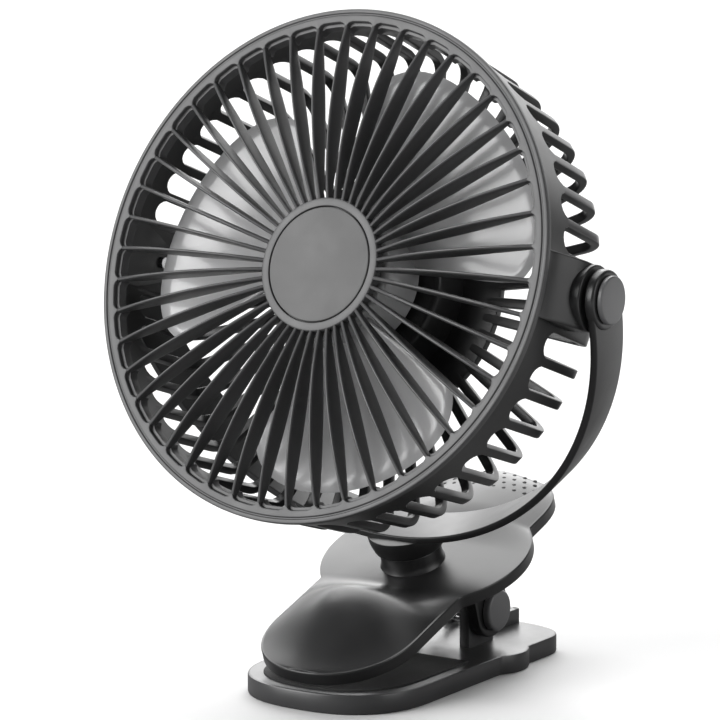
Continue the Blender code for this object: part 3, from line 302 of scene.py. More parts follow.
def turned(profile, place, steps=96, axis="Z", closed=True):
    """A (radius, height) profile spun about an axis: x = r cos a, y = r sin a, z = h."""
    profile = np.asarray(profile, float)
    angle = np.linspace(0, 2 * math.pi, steps, endpoint=False)[:, None]
    radius, height = profile[:, 0][None], profile[:, 1][None]
    spun = np.stack(np.broadcast_arrays(radius * np.cos(angle), radius * np.sin(angle), height), -1)
    if axis != "Z":
        side = 1.0 if axis == "+X" else -1.0
        spun = np.stack((side * spun[..., 2], spun[..., 0], side * spun[..., 1]), -1)
    return grid(placed(spun, place), wrap_rows=True, wrap_columns=closed)


def swept(path, across, section):
    """A closed section carried along a path: path + s0 * side + s1 * up. The side at each point is
    given, and up is the path's direction crossed with it. The ends close to a point."""
    path = np.asarray(path, float)
    ahead = np.gradient(path, axis=0)
    ahead /= np.linalg.norm(ahead, axis=1, keepdims=True)
    across = np.broadcast_to(across, path.shape)
    across = across - ahead * np.sum(across * ahead, 1, keepdims=True)
    across /= np.linalg.norm(across, axis=1, keepdims=True)
    up = np.cross(ahead, across)
    rows = path[:, None] + section[..., :1] * across[:, None] + section[..., 1:] * up[:, None]
    return grid(pinched(rows), wrap_columns=True)


def box_section(width, height, edge, steps=2):
    """A rounded rectangle about the origin, for sweeping."""
    x, y = width / 2, height / 2
    return rounded(((-x, -y), (x, -y), (x, y), (-x, y)), edge, steps)


def plate(y, half, levels, place, crown=None, columns=24):
    """A solid with a mirrored outline: half widths at stations y, drawn in by an inset at each level.
    levels is (inset, height) from the top edge down to the bottom edge. The faces above and below are
    rows from left to right. crown(x share, y) raises the top face."""
    step_x, step_y = np.gradient(half), np.gradient(y)
    reach = np.maximum(np.hypot(step_x, step_y), 1e-9)
    normal_x, normal_y = step_y / reach, -step_x / reach
    tip = half < 1e-6
    normal_x = np.where(tip, 0.0, normal_x)
    normal_y = np.where(tip, np.where(y < y.mean(), -1.0, 1.0), normal_y)
    right = []
    for inset, height in levels:
        x = np.maximum(half - inset * normal_x, 0.0)
        right.append(np.stack((x, y - inset * normal_y, np.full_like(x, height)), -1))
    right = np.stack(right, 1)
    left = right * (-1, 1, 1)
    spread = np.sin(np.linspace(-math.pi / 2, math.pi / 2, columns))

    def face(edge):
        across = edge[:, None, 0] * spread
        return np.stack(np.broadcast_arrays(across, edge[:, None, 1], edge[:, None, 2]), -1)

    top = face(right[:, 0])
    if crown is not None:
        top[..., 2] += crown(spread[None], top[..., 1])
    bottom = face(right[:, -1])
    front = np.stack((right[0], left[0]))
    rear = np.stack((left[-1], right[-1]))
    surfaces = (top, bottom[:, ::-1], right, left[:, ::-1], front, rear)
    return joined([grid(placed(surface, place)) for surface in surfaces])


def shown(name, mesh, look, angle):
    """A mesh as a linked object: smooth apart from sharp edges, and in one finish."""
    mesh.shade_smooth()
    mesh.set_sharp_from_angle(angle=math.radians(angle))
    mesh.materials.clear()
    mesh.materials.append(look)
    piece = bpy.data.objects.new(name, mesh)
    bpy.context.scene.collection.objects.link(piece)
    return piece


def make_piece(name, parts, look, body, replaces=(), angle=32.0):
    """A piece from its parts: doubles merged, faces turned outwards, smooth apart from sharp edges.
    With no body, the piece is left without a body."""
    points, faces = joined(parts)
    mesh = bpy.data.meshes.new(name)
    mesh.from_pydata(points.tolist(), [], faces.tolist())
    tidy = bmesh.new()
    tidy.from_mesh(mesh)
    bmesh.ops.remove_doubles(tidy, verts=tidy.verts, dist=2e-6)
    bmesh.ops.dissolve_degenerate(tidy, edges=tidy.edges, dist=1e-7)
    bmesh.ops.recalc_face_normals(tidy, faces=tidy.faces)
    tidy.to_mesh(mesh)
    tidy.free()
    piece = shown(name, mesh, look, angle)
    if body:
        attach(piece, body)
    if replaces:
        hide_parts(*replaces)
    return piece


def dressed_copy(node, look, body, bevel, angle=35.0):
    """A frame node's own shape as a piece, with its doubles merged and its edges rounded."""
    mesh = frame["nodes"][node].data.copy()
    tidy = bmesh.new()
    tidy.from_mesh(mesh)
    bmesh.ops.remove_doubles(tidy, verts=tidy.verts, dist=1e-6)
    bmesh.ops.dissolve_limit(tidy, angle_limit=math.radians(1.0), verts=tidy.verts, edges=tidy.edges)
    tidy.to_mesh(mesh)
    tidy.free()
    piece = shown(node + "_finished", mesh, look, angle)
    edge = piece.modifiers.new("edge", "BEVEL")
    edge.width = bevel
    edge.segments = 2
    edge.limit_method = "ANGLE"
    edge.angle_limit = math.radians(angle)
    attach(piece, body)
    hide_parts(node)
    return piece


# Shader node groups and finishes.


def new_group(name, inputs, outputs):
    """An empty shader group with (name, kind, default) sockets."""
    group = bpy.data.node_groups.new(name, "ShaderNodeTree")
    for label, kind, default in inputs:
        socket = group.interface.new_socket(label, in_out="INPUT", socket_type=kind)
        socket.default_value = default
    for label, kind in outputs:
        group.interface.new_socket(label, in_out="OUTPUT", socket_type=kind)
    return group, group.nodes.new("NodeGroupInput"), group.nodes.new("NodeGroupOutput")


def feed(tree, socket, value):
    """A socket linked to another socket, or set to a number or colour."""
    if isinstance(value, bpy.types.NodeSocket):
        tree.links.new(value, socket)
    else:
        socket.default_value = value


def math_node(tree, operation, first, second):
    """A Math node fed by sockets or numbers."""
    node = tree.nodes.new("ShaderNodeMath")
    node.operation = operation
    feed(tree, node.inputs[0], first)
    feed(tree, node.inputs[1], second)
    return node.outputs[0]


def noise_node(tree, place, scale, detail=2.0, roughness=0.5):
    """A Noise texture at a scale per metre."""
    node = tree.nodes.new("ShaderNodeTexNoise")
    tree.links.new(place, node.inputs["Vector"])
    node.inputs["Detail"].default_value = detail
    node.inputs["Roughness"].default_value = roughness
    feed(tree, node.inputs["Scale"], scale)
    return node.outputs["Fac"]


def map_range(tree, value, low, high, start=0.0, end=1.0, interpolation="LINEAR"):
    """A value from start to end carried to the range low to high, each a number or a socket."""
    node = tree.nodes.new("ShaderNodeMapRange")
    node.interpolation_type = interpolation
    tree.links.new(value, node.inputs["Value"])
    for label, limit in (("From Min", start), ("From Max", end), ("To Min", low), ("To Max", high)):
        feed(tree, node.inputs[label], limit)
    return node.outputs["Result"]


def make_moulding_group():
    """Fine spark-eroded grain, slow waviness of the wall, and handling marks, on Object coordinates."""
    group, enter, leave = new_group(
        "moulded_surface",
        [("Grain Scale", "NodeSocketFloat", 2600.0), ("Wave Scale", "NodeSocketFloat", 60.0),
         ("Wave Share", "NodeSocketFloat", 0.4)],
        [("Height", "NodeSocketFloat"), ("Wear", "NodeSocketFloat"), ("Tone", "NodeSocketFloat")],
    )
    place = group.nodes.new("ShaderNodeTexCoord").outputs["Object"]
    grain = noise_node(group, place, enter.outputs["Grain Scale"], 3.0, 0.6)
    wave = noise_node(group, place, enter.outputs["Wave Scale"], 1.0)
    mixed = math_node(group, "ADD", grain, math_node(group, "MULTIPLY", wave, enter.outputs["Wave Share"]))
    group.links.new(mixed, leave.inputs["Height"])
    smear = noise_node(group, place, 90.0, 5.0, 0.62)
    group.links.new(math_node(group, "SMOOTH_MIN", smear, 0.7), leave.inputs["Wear"])
    group.links.new(noise_node(group, place, 35.0, 3.0), leave.inputs["Tone"])
    return group


def make_tint_group():
    """A base colour varied lighter and darker by a mask: colour * (1 + spread * (mask - 1/2))."""
    group, enter, leave = new_group(
        "varied_tint",
        [("Colour", "NodeSocketColor", (0.5, 0.5, 0.5, 1.0)), ("Mask", "NodeSocketFloat", 0.5),
         ("Spread", "NodeSocketFloat", 0.2)],
        [("Colour", "NodeSocketColor")],
    )
    centred = math_node(group, "SUBTRACT", enter.outputs["Mask"], 0.5)
    gain = math_node(group, "ADD", math_node(group, "MULTIPLY", centred, enter.outputs["Spread"]), 1.0)
    scale = group.nodes.new("ShaderNodeVectorMath")
    scale.operation = "SCALE"
    group.links.new(enter.outputs["Colour"], scale.inputs[0])
    group.links.new(gain, scale.inputs["Scale"])
    group.links.new(scale.outputs[0], leave.inputs["Colour"])
    return group


def make_brushed_group():
    """Fine lines along one axis for turned or drawn metal, on Object coordinates."""
    group, enter, leave = new_group(
        "drawn_lines", [("Stretch", "NodeSocketVector", (60.0, 4000.0, 4000.0))],
        [("Height", "NodeSocketFloat"), ("Shine", "NodeSocketFloat")],
    )
    coordinate = group.nodes.new("ShaderNodeTexCoord").outputs["Object"]
    stretch = group.nodes.new("ShaderNodeVectorMath")
    stretch.operation = "MULTIPLY"
    group.links.new(coordinate, stretch.inputs[0])
    group.links.new(enter.outputs["Stretch"], stretch.inputs[1])
    lines = noise_node(group, stretch.outputs[0], 1.0, 2.0)
    group.links.new(lines, leave.inputs["Height"])
    group.links.new(lines, leave.inputs["Shine"])
    return group


GROUPS = {}


def shared_group(name):
    """A group by name, made the first time that a finish asks for it."""
    makers = {"moulded": make_moulding_group, "tint": make_tint_group, "drawn": make_brushed_group}
    if name not in GROUPS:
        GROUPS[name] = makers[name]()
    return GROUPS[name]


def use_group(tree, name, **values):
    """A group placed in a finish with its own values."""
    node = tree.nodes.new("ShaderNodeGroup")
    node.node_tree = shared_group(name)
    for label, value in values.items():
        node.inputs[label.replace("_", " ")].default_value = value
    return node


def spread_to(tree, value, low, high):
    """A noise mask, which stays mostly between 0.3 and 0.7, carried to the range low to high."""
    return map_range(tree, value, low, high, 0.3, 0.7)


def start_finish(name):
    """A new material's tree and its Principled shader."""
    made = bpy.data.materials.new(name)
    made.use_nodes = True
    return made, made.node_tree, made.node_tree.nodes["Principled BSDF"]


def tinted(tree, shader, colour, spread, mask):
    """The shader's base colour: a colour or a socket, varied by a mask."""
    tint = use_group(tree, "tint", Spread=spread)
    feed(tree, tint.inputs["Colour"], colour)
    tree.links.new(mask, tint.inputs["Mask"])
    tree.links.new(tint.outputs["Colour"], shader.inputs["Base Color"])


def bump_from(tree, shader, height, strength, distance):
    """A Bump node from a height to the shader's normal."""
    bump = tree.nodes.new("ShaderNodeBump")
    bump.inputs["Strength"].default_value = strength
    bump.inputs["Distance"].default_value = distance
    tree.links.new(height, bump.inputs["Height"])
    tree.links.new(bump.outputs["Normal"], shader.inputs["Normal"])


def moulded(name, tone, roughness, grain, grain_scale=2600.0, spread=0.25, coat=0.0):
    """Moulded plastic: grained and slightly wavy, its tone and roughness varied by handling."""
    made, tree, shader = start_finish(name)
    surface = use_group(tree, "moulded", Grain_Scale=grain_scale)
    tinted(tree, shader, (*tone, 1.0), spread, surface.outputs["Tone"])
    low, high = roughness - 0.045, roughness + 0.055
    tree.links.new(spread_to(tree, surface.outputs["Wear"], low, high), shader.inputs["Roughness"])
    shader.inputs["Coat Weight"].default_value = coat
    shader.inputs["Coat Roughness"].default_value = 0.12
    bump_from(tree, shader, surface.outputs["Height"], grain, 0.06 * MM)
    return made


def metal(name, tone, roughness, stretch=(60.0, 4000.0, 4000.0)):
    """Plated or drawn metal with fine lines."""
    made, tree, shader = start_finish(name)
    lines = use_group(tree, "drawn", Stretch=stretch)
    tinted(tree, shader, (*tone, 1.0), 0.3, lines.outputs["Shine"])
    rough = spread_to(tree, lines.outputs["Shine"], roughness - 0.05, roughness + 0.07)
    tree.links.new(rough, shader.inputs["Roughness"])
    shader.inputs["Metallic"].default_value = 1.0
    bump_from(tree, shader, lines.outputs["Height"], 0.15, 0.02 * MM)
    return made


def clear_lens(name):
    """The clear light pipe, faintly cloudy."""
    made, tree, shader = start_finish(name)
    surface = use_group(tree, "moulded", Grain_Scale=900.0)
    tinted(tree, shader, (0.8, 0.86, 0.9, 1.0), 0.1, surface.outputs["Tone"])
    tree.links.new(spread_to(tree, surface.outputs["Wear"], 0.1, 0.2), shader.inputs["Roughness"])
    shader.inputs["Transmission Weight"].default_value = 0.7
    shader.inputs["IOR"].default_value = 1.49
    return made


FINISHES = {}


def finish(name):
    """A named finish, made the first time that it is asked for."""
    if name in FINISHES:
        return FINISHES[name]
    tone = bpy.context.scene.clip_fan_finish
    shell = tuple(tone.shell)
    makers = {
        "shell": lambda: moulded("shell_plastic", shell, tone.shell_roughness, tone.grain),
        # Painted light: the front ring, ribs and boss take a lighter copy of the shell colour, which
        # stands in for the light on the front face.
        "ring": lambda: moulded("ring_plastic_painted_light", tuple(3.2 * c for c in shell), 0.4, tone.grain),
        # Painted light: the pivot and hinge caps take a lighter copy of the shell colour, which stands in
        # for the light that their side faces catch.
        "cap": lambda: moulded("cap_plastic_painted_light", tuple(6.5 * c for c in shell), 0.36, tone.grain),
        # Painted light: the base plate takes a lighter copy of the shell colour, which stands in for the
        # light on its sides and top.
        "base": lambda: moulded("base_plastic_painted_light", tuple(3.0 * c for c in shell), 0.34, tone.grain),
        "badge": lambda: moulded("badge_plastic", tuple(tone.badge), 0.55, 0.2, 3600.0, 0.08),
        "button": lambda: moulded("button_plastic", tuple(1.3 * c for c in shell), 0.3, 0.1),
        "blade": lambda: moulded("blade_plastic", tuple(tone.blade), 0.2, 0.03, 1500.0, 0.12, 0.3),
        "rubber": lambda: moulded("pad_rubber", (0.016, 0.016, 0.016), 0.75, 0.5, 1800.0, 0.4),
        "dot": lambda: moulded("dot_rubber", (0.006, 0.006, 0.006), 0.6, 0.3, 1800.0, 0.4),
        "steel": lambda: metal("plated_steel", (0.62, 0.62, 0.63), 0.24),
        "spring": lambda: metal("spring_wire", (0.7, 0.7, 0.71), 0.2, (3000.0, 300.0, 300.0)),
        "copper": lambda: metal("enamelled_copper", (0.6, 0.27, 0.12), 0.35, (5000.0, 5000.0, 200.0)),
        "board": lambda: moulded("green_board", (0.015, 0.1, 0.04), 0.35, 0.3, 1400.0, 0.3, 0.3),
        "foil": lambda: metal("cell_foil", (0.5, 0.5, 0.52), 0.38, (900.0, 900.0, 900.0)),
        "magnet": lambda: moulded("dark_ferrite", (0.04, 0.04, 0.045), 0.55, 0.3, 2000.0),
        "lens": lambda: clear_lens("light_pipe"),
    }
    FINISHES[name] = makers[name]()
    return FINISHES[name]


# Shapes that several pieces share.


def lobe(distance, reach, power):
    """1 up to the start of a rounded end, then falling to 0 over its reach as a superellipse."""
    part = np.clip(distance / reach, 0.0, 1.0)
    return (1.0 - part**power) ** (1.0 / power)


def smoothstep(part):
    """0 to 1 with level ends: 3 t^2 - 2 t^3."""
    part = np.clip(part, 0.0, 1.0)
    return part * part * (3 - 2 * part)


def crowded(low, high, count):
    """Stations from low to high that crowd towards both ends."""
    return low + (high - low) * (1 - np.cos(np.linspace(0, math.pi, count))) / 2


def base_half_width(y):
    """Half width of the base plate: rounded ends, and a round bump beside the hinge."""
    front = lobe(BASE_FRONT + BASE_FRONT_CURVE - y, BASE_FRONT_CURVE, 2.5)
    rear = lobe(y - BASE_REAR + BASE_REAR_CURVE, BASE_REAR_CURVE, 3.0)
    body = BASE_HALF_WIDTH * np.minimum(front, rear)
    across = BUMP_RADIUS**2 - (y - HINGE[1] + BUMP_AHEAD) ** 2
    bump = BASE_HALF_WIDTH + BUMP_STAND_OUT - BUMP_RADIUS + np.sqrt(np.maximum(across, 0.0))
    return np.where(across > 0, np.maximum(body, bump), body)


def jaw_half_width(y):
    """Half width of the upper jaw: the widest of its front lobe, its wings and its lever."""
    front = JAW_FRONT_HALF_WIDTH * lobe(JAW_FRONT + JAW_FRONT_CURVE - y, JAW_FRONT_CURVE, 2.2)
    lever = LEVER_HALF_WIDTH * lobe(y - JAW_REAR + LEVER_CURVE, LEVER_CURVE, 3.0)
    off = (y + WING_AHEAD) / WING_REACH
    wing = WING_HALF_WIDTH * np.sqrt(np.maximum(1 - off * off, 0.0))
    return np.maximum(np.minimum(front, lever), np.where(np.abs(off) < WING_SHARE, wing, 0.0))


def jaw_height(part, y):
    """Height of the jaw's top above its rim plane, at a share of its half width: a crown, a high
    front dome and a low lever dome, each falling to 0 at the edge."""
    along = (y - JAW_FRONT) / JAW_FRONT_LENGTH
    front = FRONT_DOME * smoothstep(along / 0.5) * (1 - smoothstep((along - 0.5) / 0.28))
    climb = smoothstep((y - LEVER_CREST + 20 * MM) / (20 * MM))
    lever = LEVER_DOME * climb * lobe(y - LEVER_CREST, JAW_REAR - LEVER_CREST, 2.0)
    across = np.maximum(1 - part * part, 0.0)
    crown = JAW_CROWN * across * lobe(-y - CROWN_END, -JAW_FRONT - CROWN_END, 2.0)
    return crown + (front + lever) * across


def rib_front(radius, bulge):
    """How far forward the front edge of a rib is, at a radius: a straight line plus a parabola."""
    part = (radius - BOSS_RADIUS) / (RING_RADIUS - RING_WIDTH - BOSS_RADIUS)
    straight = RING_AHEAD - BOSS_SET_BACK + (BOSS_SET_BACK - 0.4 * MM) * part
    return straight + bulge * 4 * part * (1 - part)


def rib_offset(angle):
    """The angle from the nearest rib, from -pitch/2 to pitch/2."""
    return (angle + RIB_PITCH / 2) % RIB_PITCH - RIB_PITCH / 2


def rib_angles(per_pitch):
    """Angles round the fan, with points crowded at the ribs."""
    within = crowded(0.0, RIB_PITCH, per_pitch + 1)[:-1]
    return (np.arange(RIB_COUNT)[:, None] * RIB_PITCH + within[None]).ravel()


def ring_of(angle, profile):
    """A surface from a closed (angle, profile, 2) array of radius and height."""
    radius, height = profile[..., 0], profile[..., 1]
    across, up = radius * np.cos(angle)[:, None], radius * np.sin(angle)[:, None]
    points = np.stack((across, up, height), -1)
    return grid(placed(points, HEAD_FRAME), wrap_rows=True, wrap_columns=True)


def head_radial(angle):
    """Unit vectors along a radius and along the circle, in the fan's frame."""
    out = np.array((math.cos(angle), math.sin(angle), 0.0))
    return out, np.cross(AXIS, out)


# Operators. Each builds one piece or a group of like pieces.


class CLIPFAN_OT_front_grille(bpy.types.Operator):
    """Front ring with its groove, the arched ribs and the middle boss, all in one moulding"""

    bl_idname = "clip_fan.front_grille"
    bl_label = "Front grille"

    def execute(self, context):
        sizes = context.scene.clip_fan_grille
        inner = RING_RADIUS - sizes.ring_width
        outer = RING_RADIUS - 0.2 * MM  # inside the frame's many-sided ring
        back = RING_AHEAD - RING_THICKNESS
        groove = RING_AHEAD - 0.35 * MM
        lip_outer = 70.7 * MM
        lip_inner = 69.6 * MM
        half = sizes.rib_width / 2
        angle = rib_angles(10)
        away = np.maximum(np.abs(rib_offset(angle)) * inner - half, 0.0)
        near = np.clip(sizes.fillet - away, 0.0, sizes.fillet)
        fillet = sizes.fillet - np.sqrt(np.maximum(sizes.fillet**2 - near**2, 0.0))
        outline = rounded(
            ((inner, RING_AHEAD), (inner + 1.9 * MM, RING_AHEAD), (inner + 2.1 * MM, groove),
             (inner + 2.5 * MM, groove), (inner + 2.7 * MM, RING_AHEAD), (outer, RING_AHEAD),
             (outer, back), (lip_outer, back), (lip_outer, back - 2.5 * MM), (lip_inner, back - 2.5 * MM),
             (lip_inner + 0.3 * MM, back + 0.6 * MM), (inner, back + 0.6 * MM)),
            np.array((0.5, 0.12, 0.12, 0.12, 0.12, 0.55, 0.3, 0.1, 0.2, 0.2, 0.1, 0.4)) * MM, 3,
        )
        profile = np.repeat(outline[None], len(angle), 0)
        facing = outline[:, 0] < inner + 0.6 * MM
        profile[:, facing, 0] -= fillet[:, None]
        parts = [ring_of(angle, profile)]
        radius = np.linspace(BOSS_RADIUS - 0.6 * MM, inner + 1.2 * MM, 22)
        part = np.clip((radius - BOSS_RADIUS) / (inner - BOSS_RADIUS), 0.0, 1.0)
        end_depth = 1.5 * MM
        boss_depth = 2.6 * MM
        depth = end_depth + (sizes.rib_depth - end_depth) * np.sin(math.pi * part) ** 0.8
        depth = np.where(part < 0.5, np.maximum(depth, boss_depth), depth)
        front = rib_front(radius, sizes.rib_bulge)
        unit = rounded(((-0.5, -1.0), (0.5, -1.0), (0.5, 0.0), (-0.5, 0.0)), (0.3, 0.3, 0.4, 0.4), 3)
        for rib in range(RIB_COUNT):
            out, _ = head_radial(rib * RIB_PITCH)
            side = np.cross(out, AXIS)
            wide = unit[None, :, :1] * sizes.rib_width * side
            deep = unit[None, :, 1:] * depth[:, None, None] * AXIS
            rows = meridian(out, radius, front)[:, None] + wide + deep
            parts.append(grid(placed(pinched(rows), HEAD_FRAME), wrap_columns=True))
        face = RING_AHEAD - BOSS_SET_BACK
        floor = face - 1.3 * MM
        rear = face - 3.2 * MM
        recess = BADGE_RADIUS + 0.3 * MM
        boss = rounded(
            ((0.0, floor), (recess, floor), (recess, face), (BOSS_RADIUS, face),
             (BOSS_RADIUS, rear), (0.0, rear)),
            np.array((0.0, 0.1, 0.35, 0.8, 0.6, 0.0)) * MM, 3,
        )
        parts.append(turned(boss, HEAD_FRAME, 120))
        make_piece("front_grille_moulding", parts, finish("ring"), "head", ["front_grille"])
        low = face - 1.0 * MM
        disc = eased_ends(((0.0, face), (BADGE_RADIUS, face), (BADGE_RADIUS, low), (0.0, low)),
                          np.array((0.35, 0.1)) * MM, 4)
        make_piece("badge_disc", [turned(disc, HEAD_FRAME, 120)], finish("badge"), "head",
                   ["grille_badge"])
        return {"FINISHED"}


def pivot_fairing(side, boss_end, rim):
    """A raised pad from the front rim to the pivot boss: its half width is the boss's radius, closed
    by a half circle behind the pivot, and it rises as a smooth ramp from the drum to the boss's end."""
    behind = -PIVOT_BOSS_RADIUS * np.cos(np.linspace(0, math.pi / 2, 18))
    along = np.concatenate((behind, np.linspace(0.6 * MM, rim, 22)))
    half = np.sqrt(np.maximum(PIVOT_BOSS_RADIUS**2 - np.minimum(along, 0.0) ** 2, 0.0))
    low = 70.0 * MM
    ramp_start = 3.0 * MM
    ramp = 1 - smoothstep((along - ramp_start) / (rim - ramp_start))
    top = DRUM_RADIUS + (boss_end - 1.2 * MM - DRUM_RADIUS) * ramp
    loop = rounded(((-1, 0), (-1, 1), (1, 1), (1, 0)), (0.01, 0.1, 0.1, 0.01), 5)
    across = loop[None, :, 0] * half[:, None]
    out = low + loop[None, :, 1] * (top - low)[:, None]
    rows = np.stack(np.broadcast_arrays(side * out, across, along[:, None]), -1)
    return grid(placed(pinched(rows, first=False), HEAD_FRAME), wrap_columns=True)


class CLIPFAN_OT_rear_cage(bpy.types.Operator):
    """Drum: scalloped front band, bars over the rear corner, side fairings, pivot bosses and housing"""

    bl_idname = "clip_fan.rear_cage"
    bl_label = "Rear cage"

    def execute(self, context):
        sizes = context.scene.clip_fan_cage
        rim = RING_AHEAD - 2.3 * MM
        corner_top = REAR_FACE + DRUM_CORNER
        taper = (DRUM_RADIUS - DRUM_REAR_RADIUS) / (rim - corner_top)
        angle = rib_angles(14)
        slot_half = (RIB_PITCH * DRUM_RADIUS - sizes.bar_width) / 2
        off = np.abs(RIB_PITCH / 2 - np.abs(rib_offset(angle))) * DRUM_RADIUS
        curve = slot_half - np.sqrt(np.maximum(slot_half**2 - np.minimum(off, slot_half) ** 2, 0.0))
        pitches = (angle / RIB_PITCH) % (RIB_COUNT / 2)
        solid = (pitches < FAIRING_PITCHES) | (pitches > RIB_COUNT / 2 - FAIRING_PITCHES)
        rear = BAND_REAR - np.where(solid, slot_half, curve)
        edge = 0.45 * MM
        insets = ((0.0, edge), (edge, 0.0), (DRUM_WALL - edge, 0.0), (DRUM_WALL, edge))
        front_side = [np.broadcast_to((DRUM_RADIUS - inset, rim - height), (len(angle), 2))
                      for inset, height in insets]
        rear_side = []
        for inset, height in insets:
            spot = rear + height
            rear_side.append(np.stack((DRUM_RADIUS - taper * (rim - spot) - inset, spot), -1))
        profile = np.stack(front_side[1::-1] + rear_side + front_side[:1:-1], 1)
        parts = [ring_of(angle, profile)]
        middle = DRUM_WALL / 2
        turn = np.linspace(0, -math.pi / 2, 9)
        bend = 2 + len(turn)  # points down the side and round the corner
        corner_radius = DRUM_REAR_RADIUS - DRUM_CORNER
        radius = np.concatenate((
            (DRUM_RADIUS - taper * (rim - BAND_REAR) - middle, DRUM_REAR_RADIUS + 0.25 * MM - middle),
            corner_radius + (DRUM_CORNER - middle) * np.cos(turn),
            np.linspace(60 * MM, HOUSING_RADIUS - 1.0 * MM, 8),
        ))
        tilt = (radius[bend:] - corner_radius) / (HOUSING_RADIUS - corner_radius)
        height = np.concatenate((
            (BAND_REAR + 1.0 * MM, corner_top + 6 * MM),
            corner_top + (DRUM_CORNER - middle) * np.sin(turn),
            REAR_FACE + middle - REAR_DISH * tilt,
        ))
        section = box_section(sizes.bar_width, DRUM_WALL - 0.05 * MM, sizes.bar_edge, 3)
        for bar in range(RIB_COUNT):
            out, around = head_radial(bar * RIB_PITCH)
            parts.append(moved(swept(meridian(out, radius, height), around, section), HEAD_FRAME))
        reach = FAIRING_PITCHES * RIB_PITCH
        out_r = np.concatenate((np.full(2, middle), middle * np.cos(turn)))
        out_z = np.concatenate((np.zeros(2), middle * np.sin(turn)))
        loop_r = np.concatenate((radius[:bend] + out_r, (radius[:bend] - out_r)[::-1]))
        loop_z = np.concatenate((height[:bend] + out_z, (height[:bend] - out_z)[::-1]))
        for side in (0.0, math.pi):
            spread = np.linspace(side - reach, side + reach, 25)
            rows = np.stack([meridian(head_radial(angle)[0], loop_r, loop_z) for angle in spread])
            parts.append(grid(placed(pinched(rows), HEAD_FRAME), wrap_columns=True))
        boss_start = 70.2 * MM
        boss_end = math.sqrt((YOKE_INNER - 0.6 * MM) ** 2 - PIVOT_BOSS_RADIUS**2)
        parts += [pivot_fairing(side, boss_end, rim) for side in (-1, 1)]
        boss = eased_ends(
            ((0.0, boss_end), (PIVOT_BOSS_RADIUS, boss_end), (PIVOT_BOSS_RADIUS, boss_start + 1.3 * MM),
             (PIVOT_BOSS_RADIUS, boss_start), (0.0, boss_start)),
            np.array((0.5, 0.1, 0.1)) * MM, 4,
        )
        for _, axis in SIDES:
            parts.append(turned(boss, HEAD_FRAME, 48, axis))
        housing_inner = HOUSING_RADIUS - 1.5 * MM
        housing_floor = HOUSING_FRONT - 2 * MM
        floor_back = REAR_FACE - REAR_DISH
        housing = eased_ends(
            ((0.0, HOUSING_FRONT), (HOUSING_RADIUS, HOUSING_FRONT), (HOUSING_RADIUS, floor_back),
             (housing_inner, floor_back), (housing_inner, housing_floor), (0.0, housing_floor)),
            np.array((1.5, 0.4, 0.3, 0.8)) * MM, 4,
        )
        parts.append(turned(housing, HEAD_FRAME, 96))
        disc_back = REAR_FACE - 1.2 * MM
        disc_front = disc_back + DRUM_WALL
        disc_inner = HOUSING_RADIUS - 1.0 * MM
        disc = rounded(
            ((disc_inner, disc_front), (REAR_DISC_RADIUS, disc_front), (REAR_DISC_RADIUS, disc_back),
             (disc_inner, disc_back)),
            np.array((0.1, 0.5, 0.5, 0.1)) * MM, 3,
        )
        parts.append(turned(disc, HEAD_FRAME, 120))
        make_piece("drum_moulding", parts, finish("shell"), "head", ["rear_cage"])
        return {"FINISHED"}


class CLIPFAN_OT_impeller(bpy.types.Operator):
    """Hub cup and wide twisted blades with rounded edges"""

    bl_idname = "clip_fan.impeller"
    bl_label = "Impeller"

    def execute(self, context):
        sizes = context.scene.clip_fan_blades
        front, depth = 13.0 * MM, 15.5 * MM
        hub_radius, hub_front, hub_rear = 20.0 * MM, 14.6 * MM, -3.0 * MM
        inside = 16.3 * MM
        cup_front = hub_front - 1.6 * MM
        bore = 1.55 * MM
        hub = rounded(
            ((bore, hub_front), (hub_radius, hub_front), (hub_radius, hub_rear), (inside, hub_rear),
             (inside, cup_front), (bore, cup_front)),
            np.array((0.2, 2.4, 0.5, 0.4, 0.8, 0.2)) * MM, 6,
        )
        parts = [turned(hub, HEAD_FRAME, 96)]
        root, tip = 18.2 * MM, 63.3 * MM
        along = np.linspace(0, 1, 20)[:, None]
        turn = np.sin(np.linspace(-math.pi / 2, math.pi / 2, 40))[None]
        reach = tip - 9 * MM * np.abs(turn) ** 6
        radius = root + (reach - root) * along
        narrow = 0.80 + 0.20 * np.sin(math.pi * np.minimum(along * 1.15, 1.0) / 2)
        pitch = 0.72 + 0.28 * (1 - along)
        height = front - depth * (1 - turn) / 2
        middle = front - depth / 2
        rise = middle + (height - middle) * pitch
        for blade in range(sizes.count):
            phase = sizes.phase + 2 * math.pi * blade / sizes.count
            angle = phase + turn * sizes.arc / 2 * narrow
            across, up = radius * np.cos(angle), radius * np.sin(angle)
            points = np.stack(np.broadcast_arrays(across, up, rise), -1)
            normal = np.cross(np.gradient(points, axis=0), np.gradient(points, axis=1))
            normal /= np.maximum(np.linalg.norm(normal, axis=2, keepdims=True), 1e-12)
            edge = np.sqrt(np.clip(1 - np.clip((np.abs(turn) - 0.96) / 0.04, 0, 1) ** 2, 0, 1))
            end = np.sqrt(np.clip(1 - np.clip((along - 0.97) / 0.03, 0, 1) ** 2, 0, 1))
            thick = (sizes.thickness / 2 * np.minimum(edge, end))[..., None]
            upper, lower = points + normal * thick, points - normal * thick
            loop = pinched(np.concatenate((upper, lower[:, ::-1]), 1), last=False)
            parts.append(grid(placed(loop, HEAD_FRAME), wrap_columns=True))
        make_piece("blade_moulding", parts, finish("blade"), "impeller", ["impeller"], 40.0)
        return {"FINISHED"}


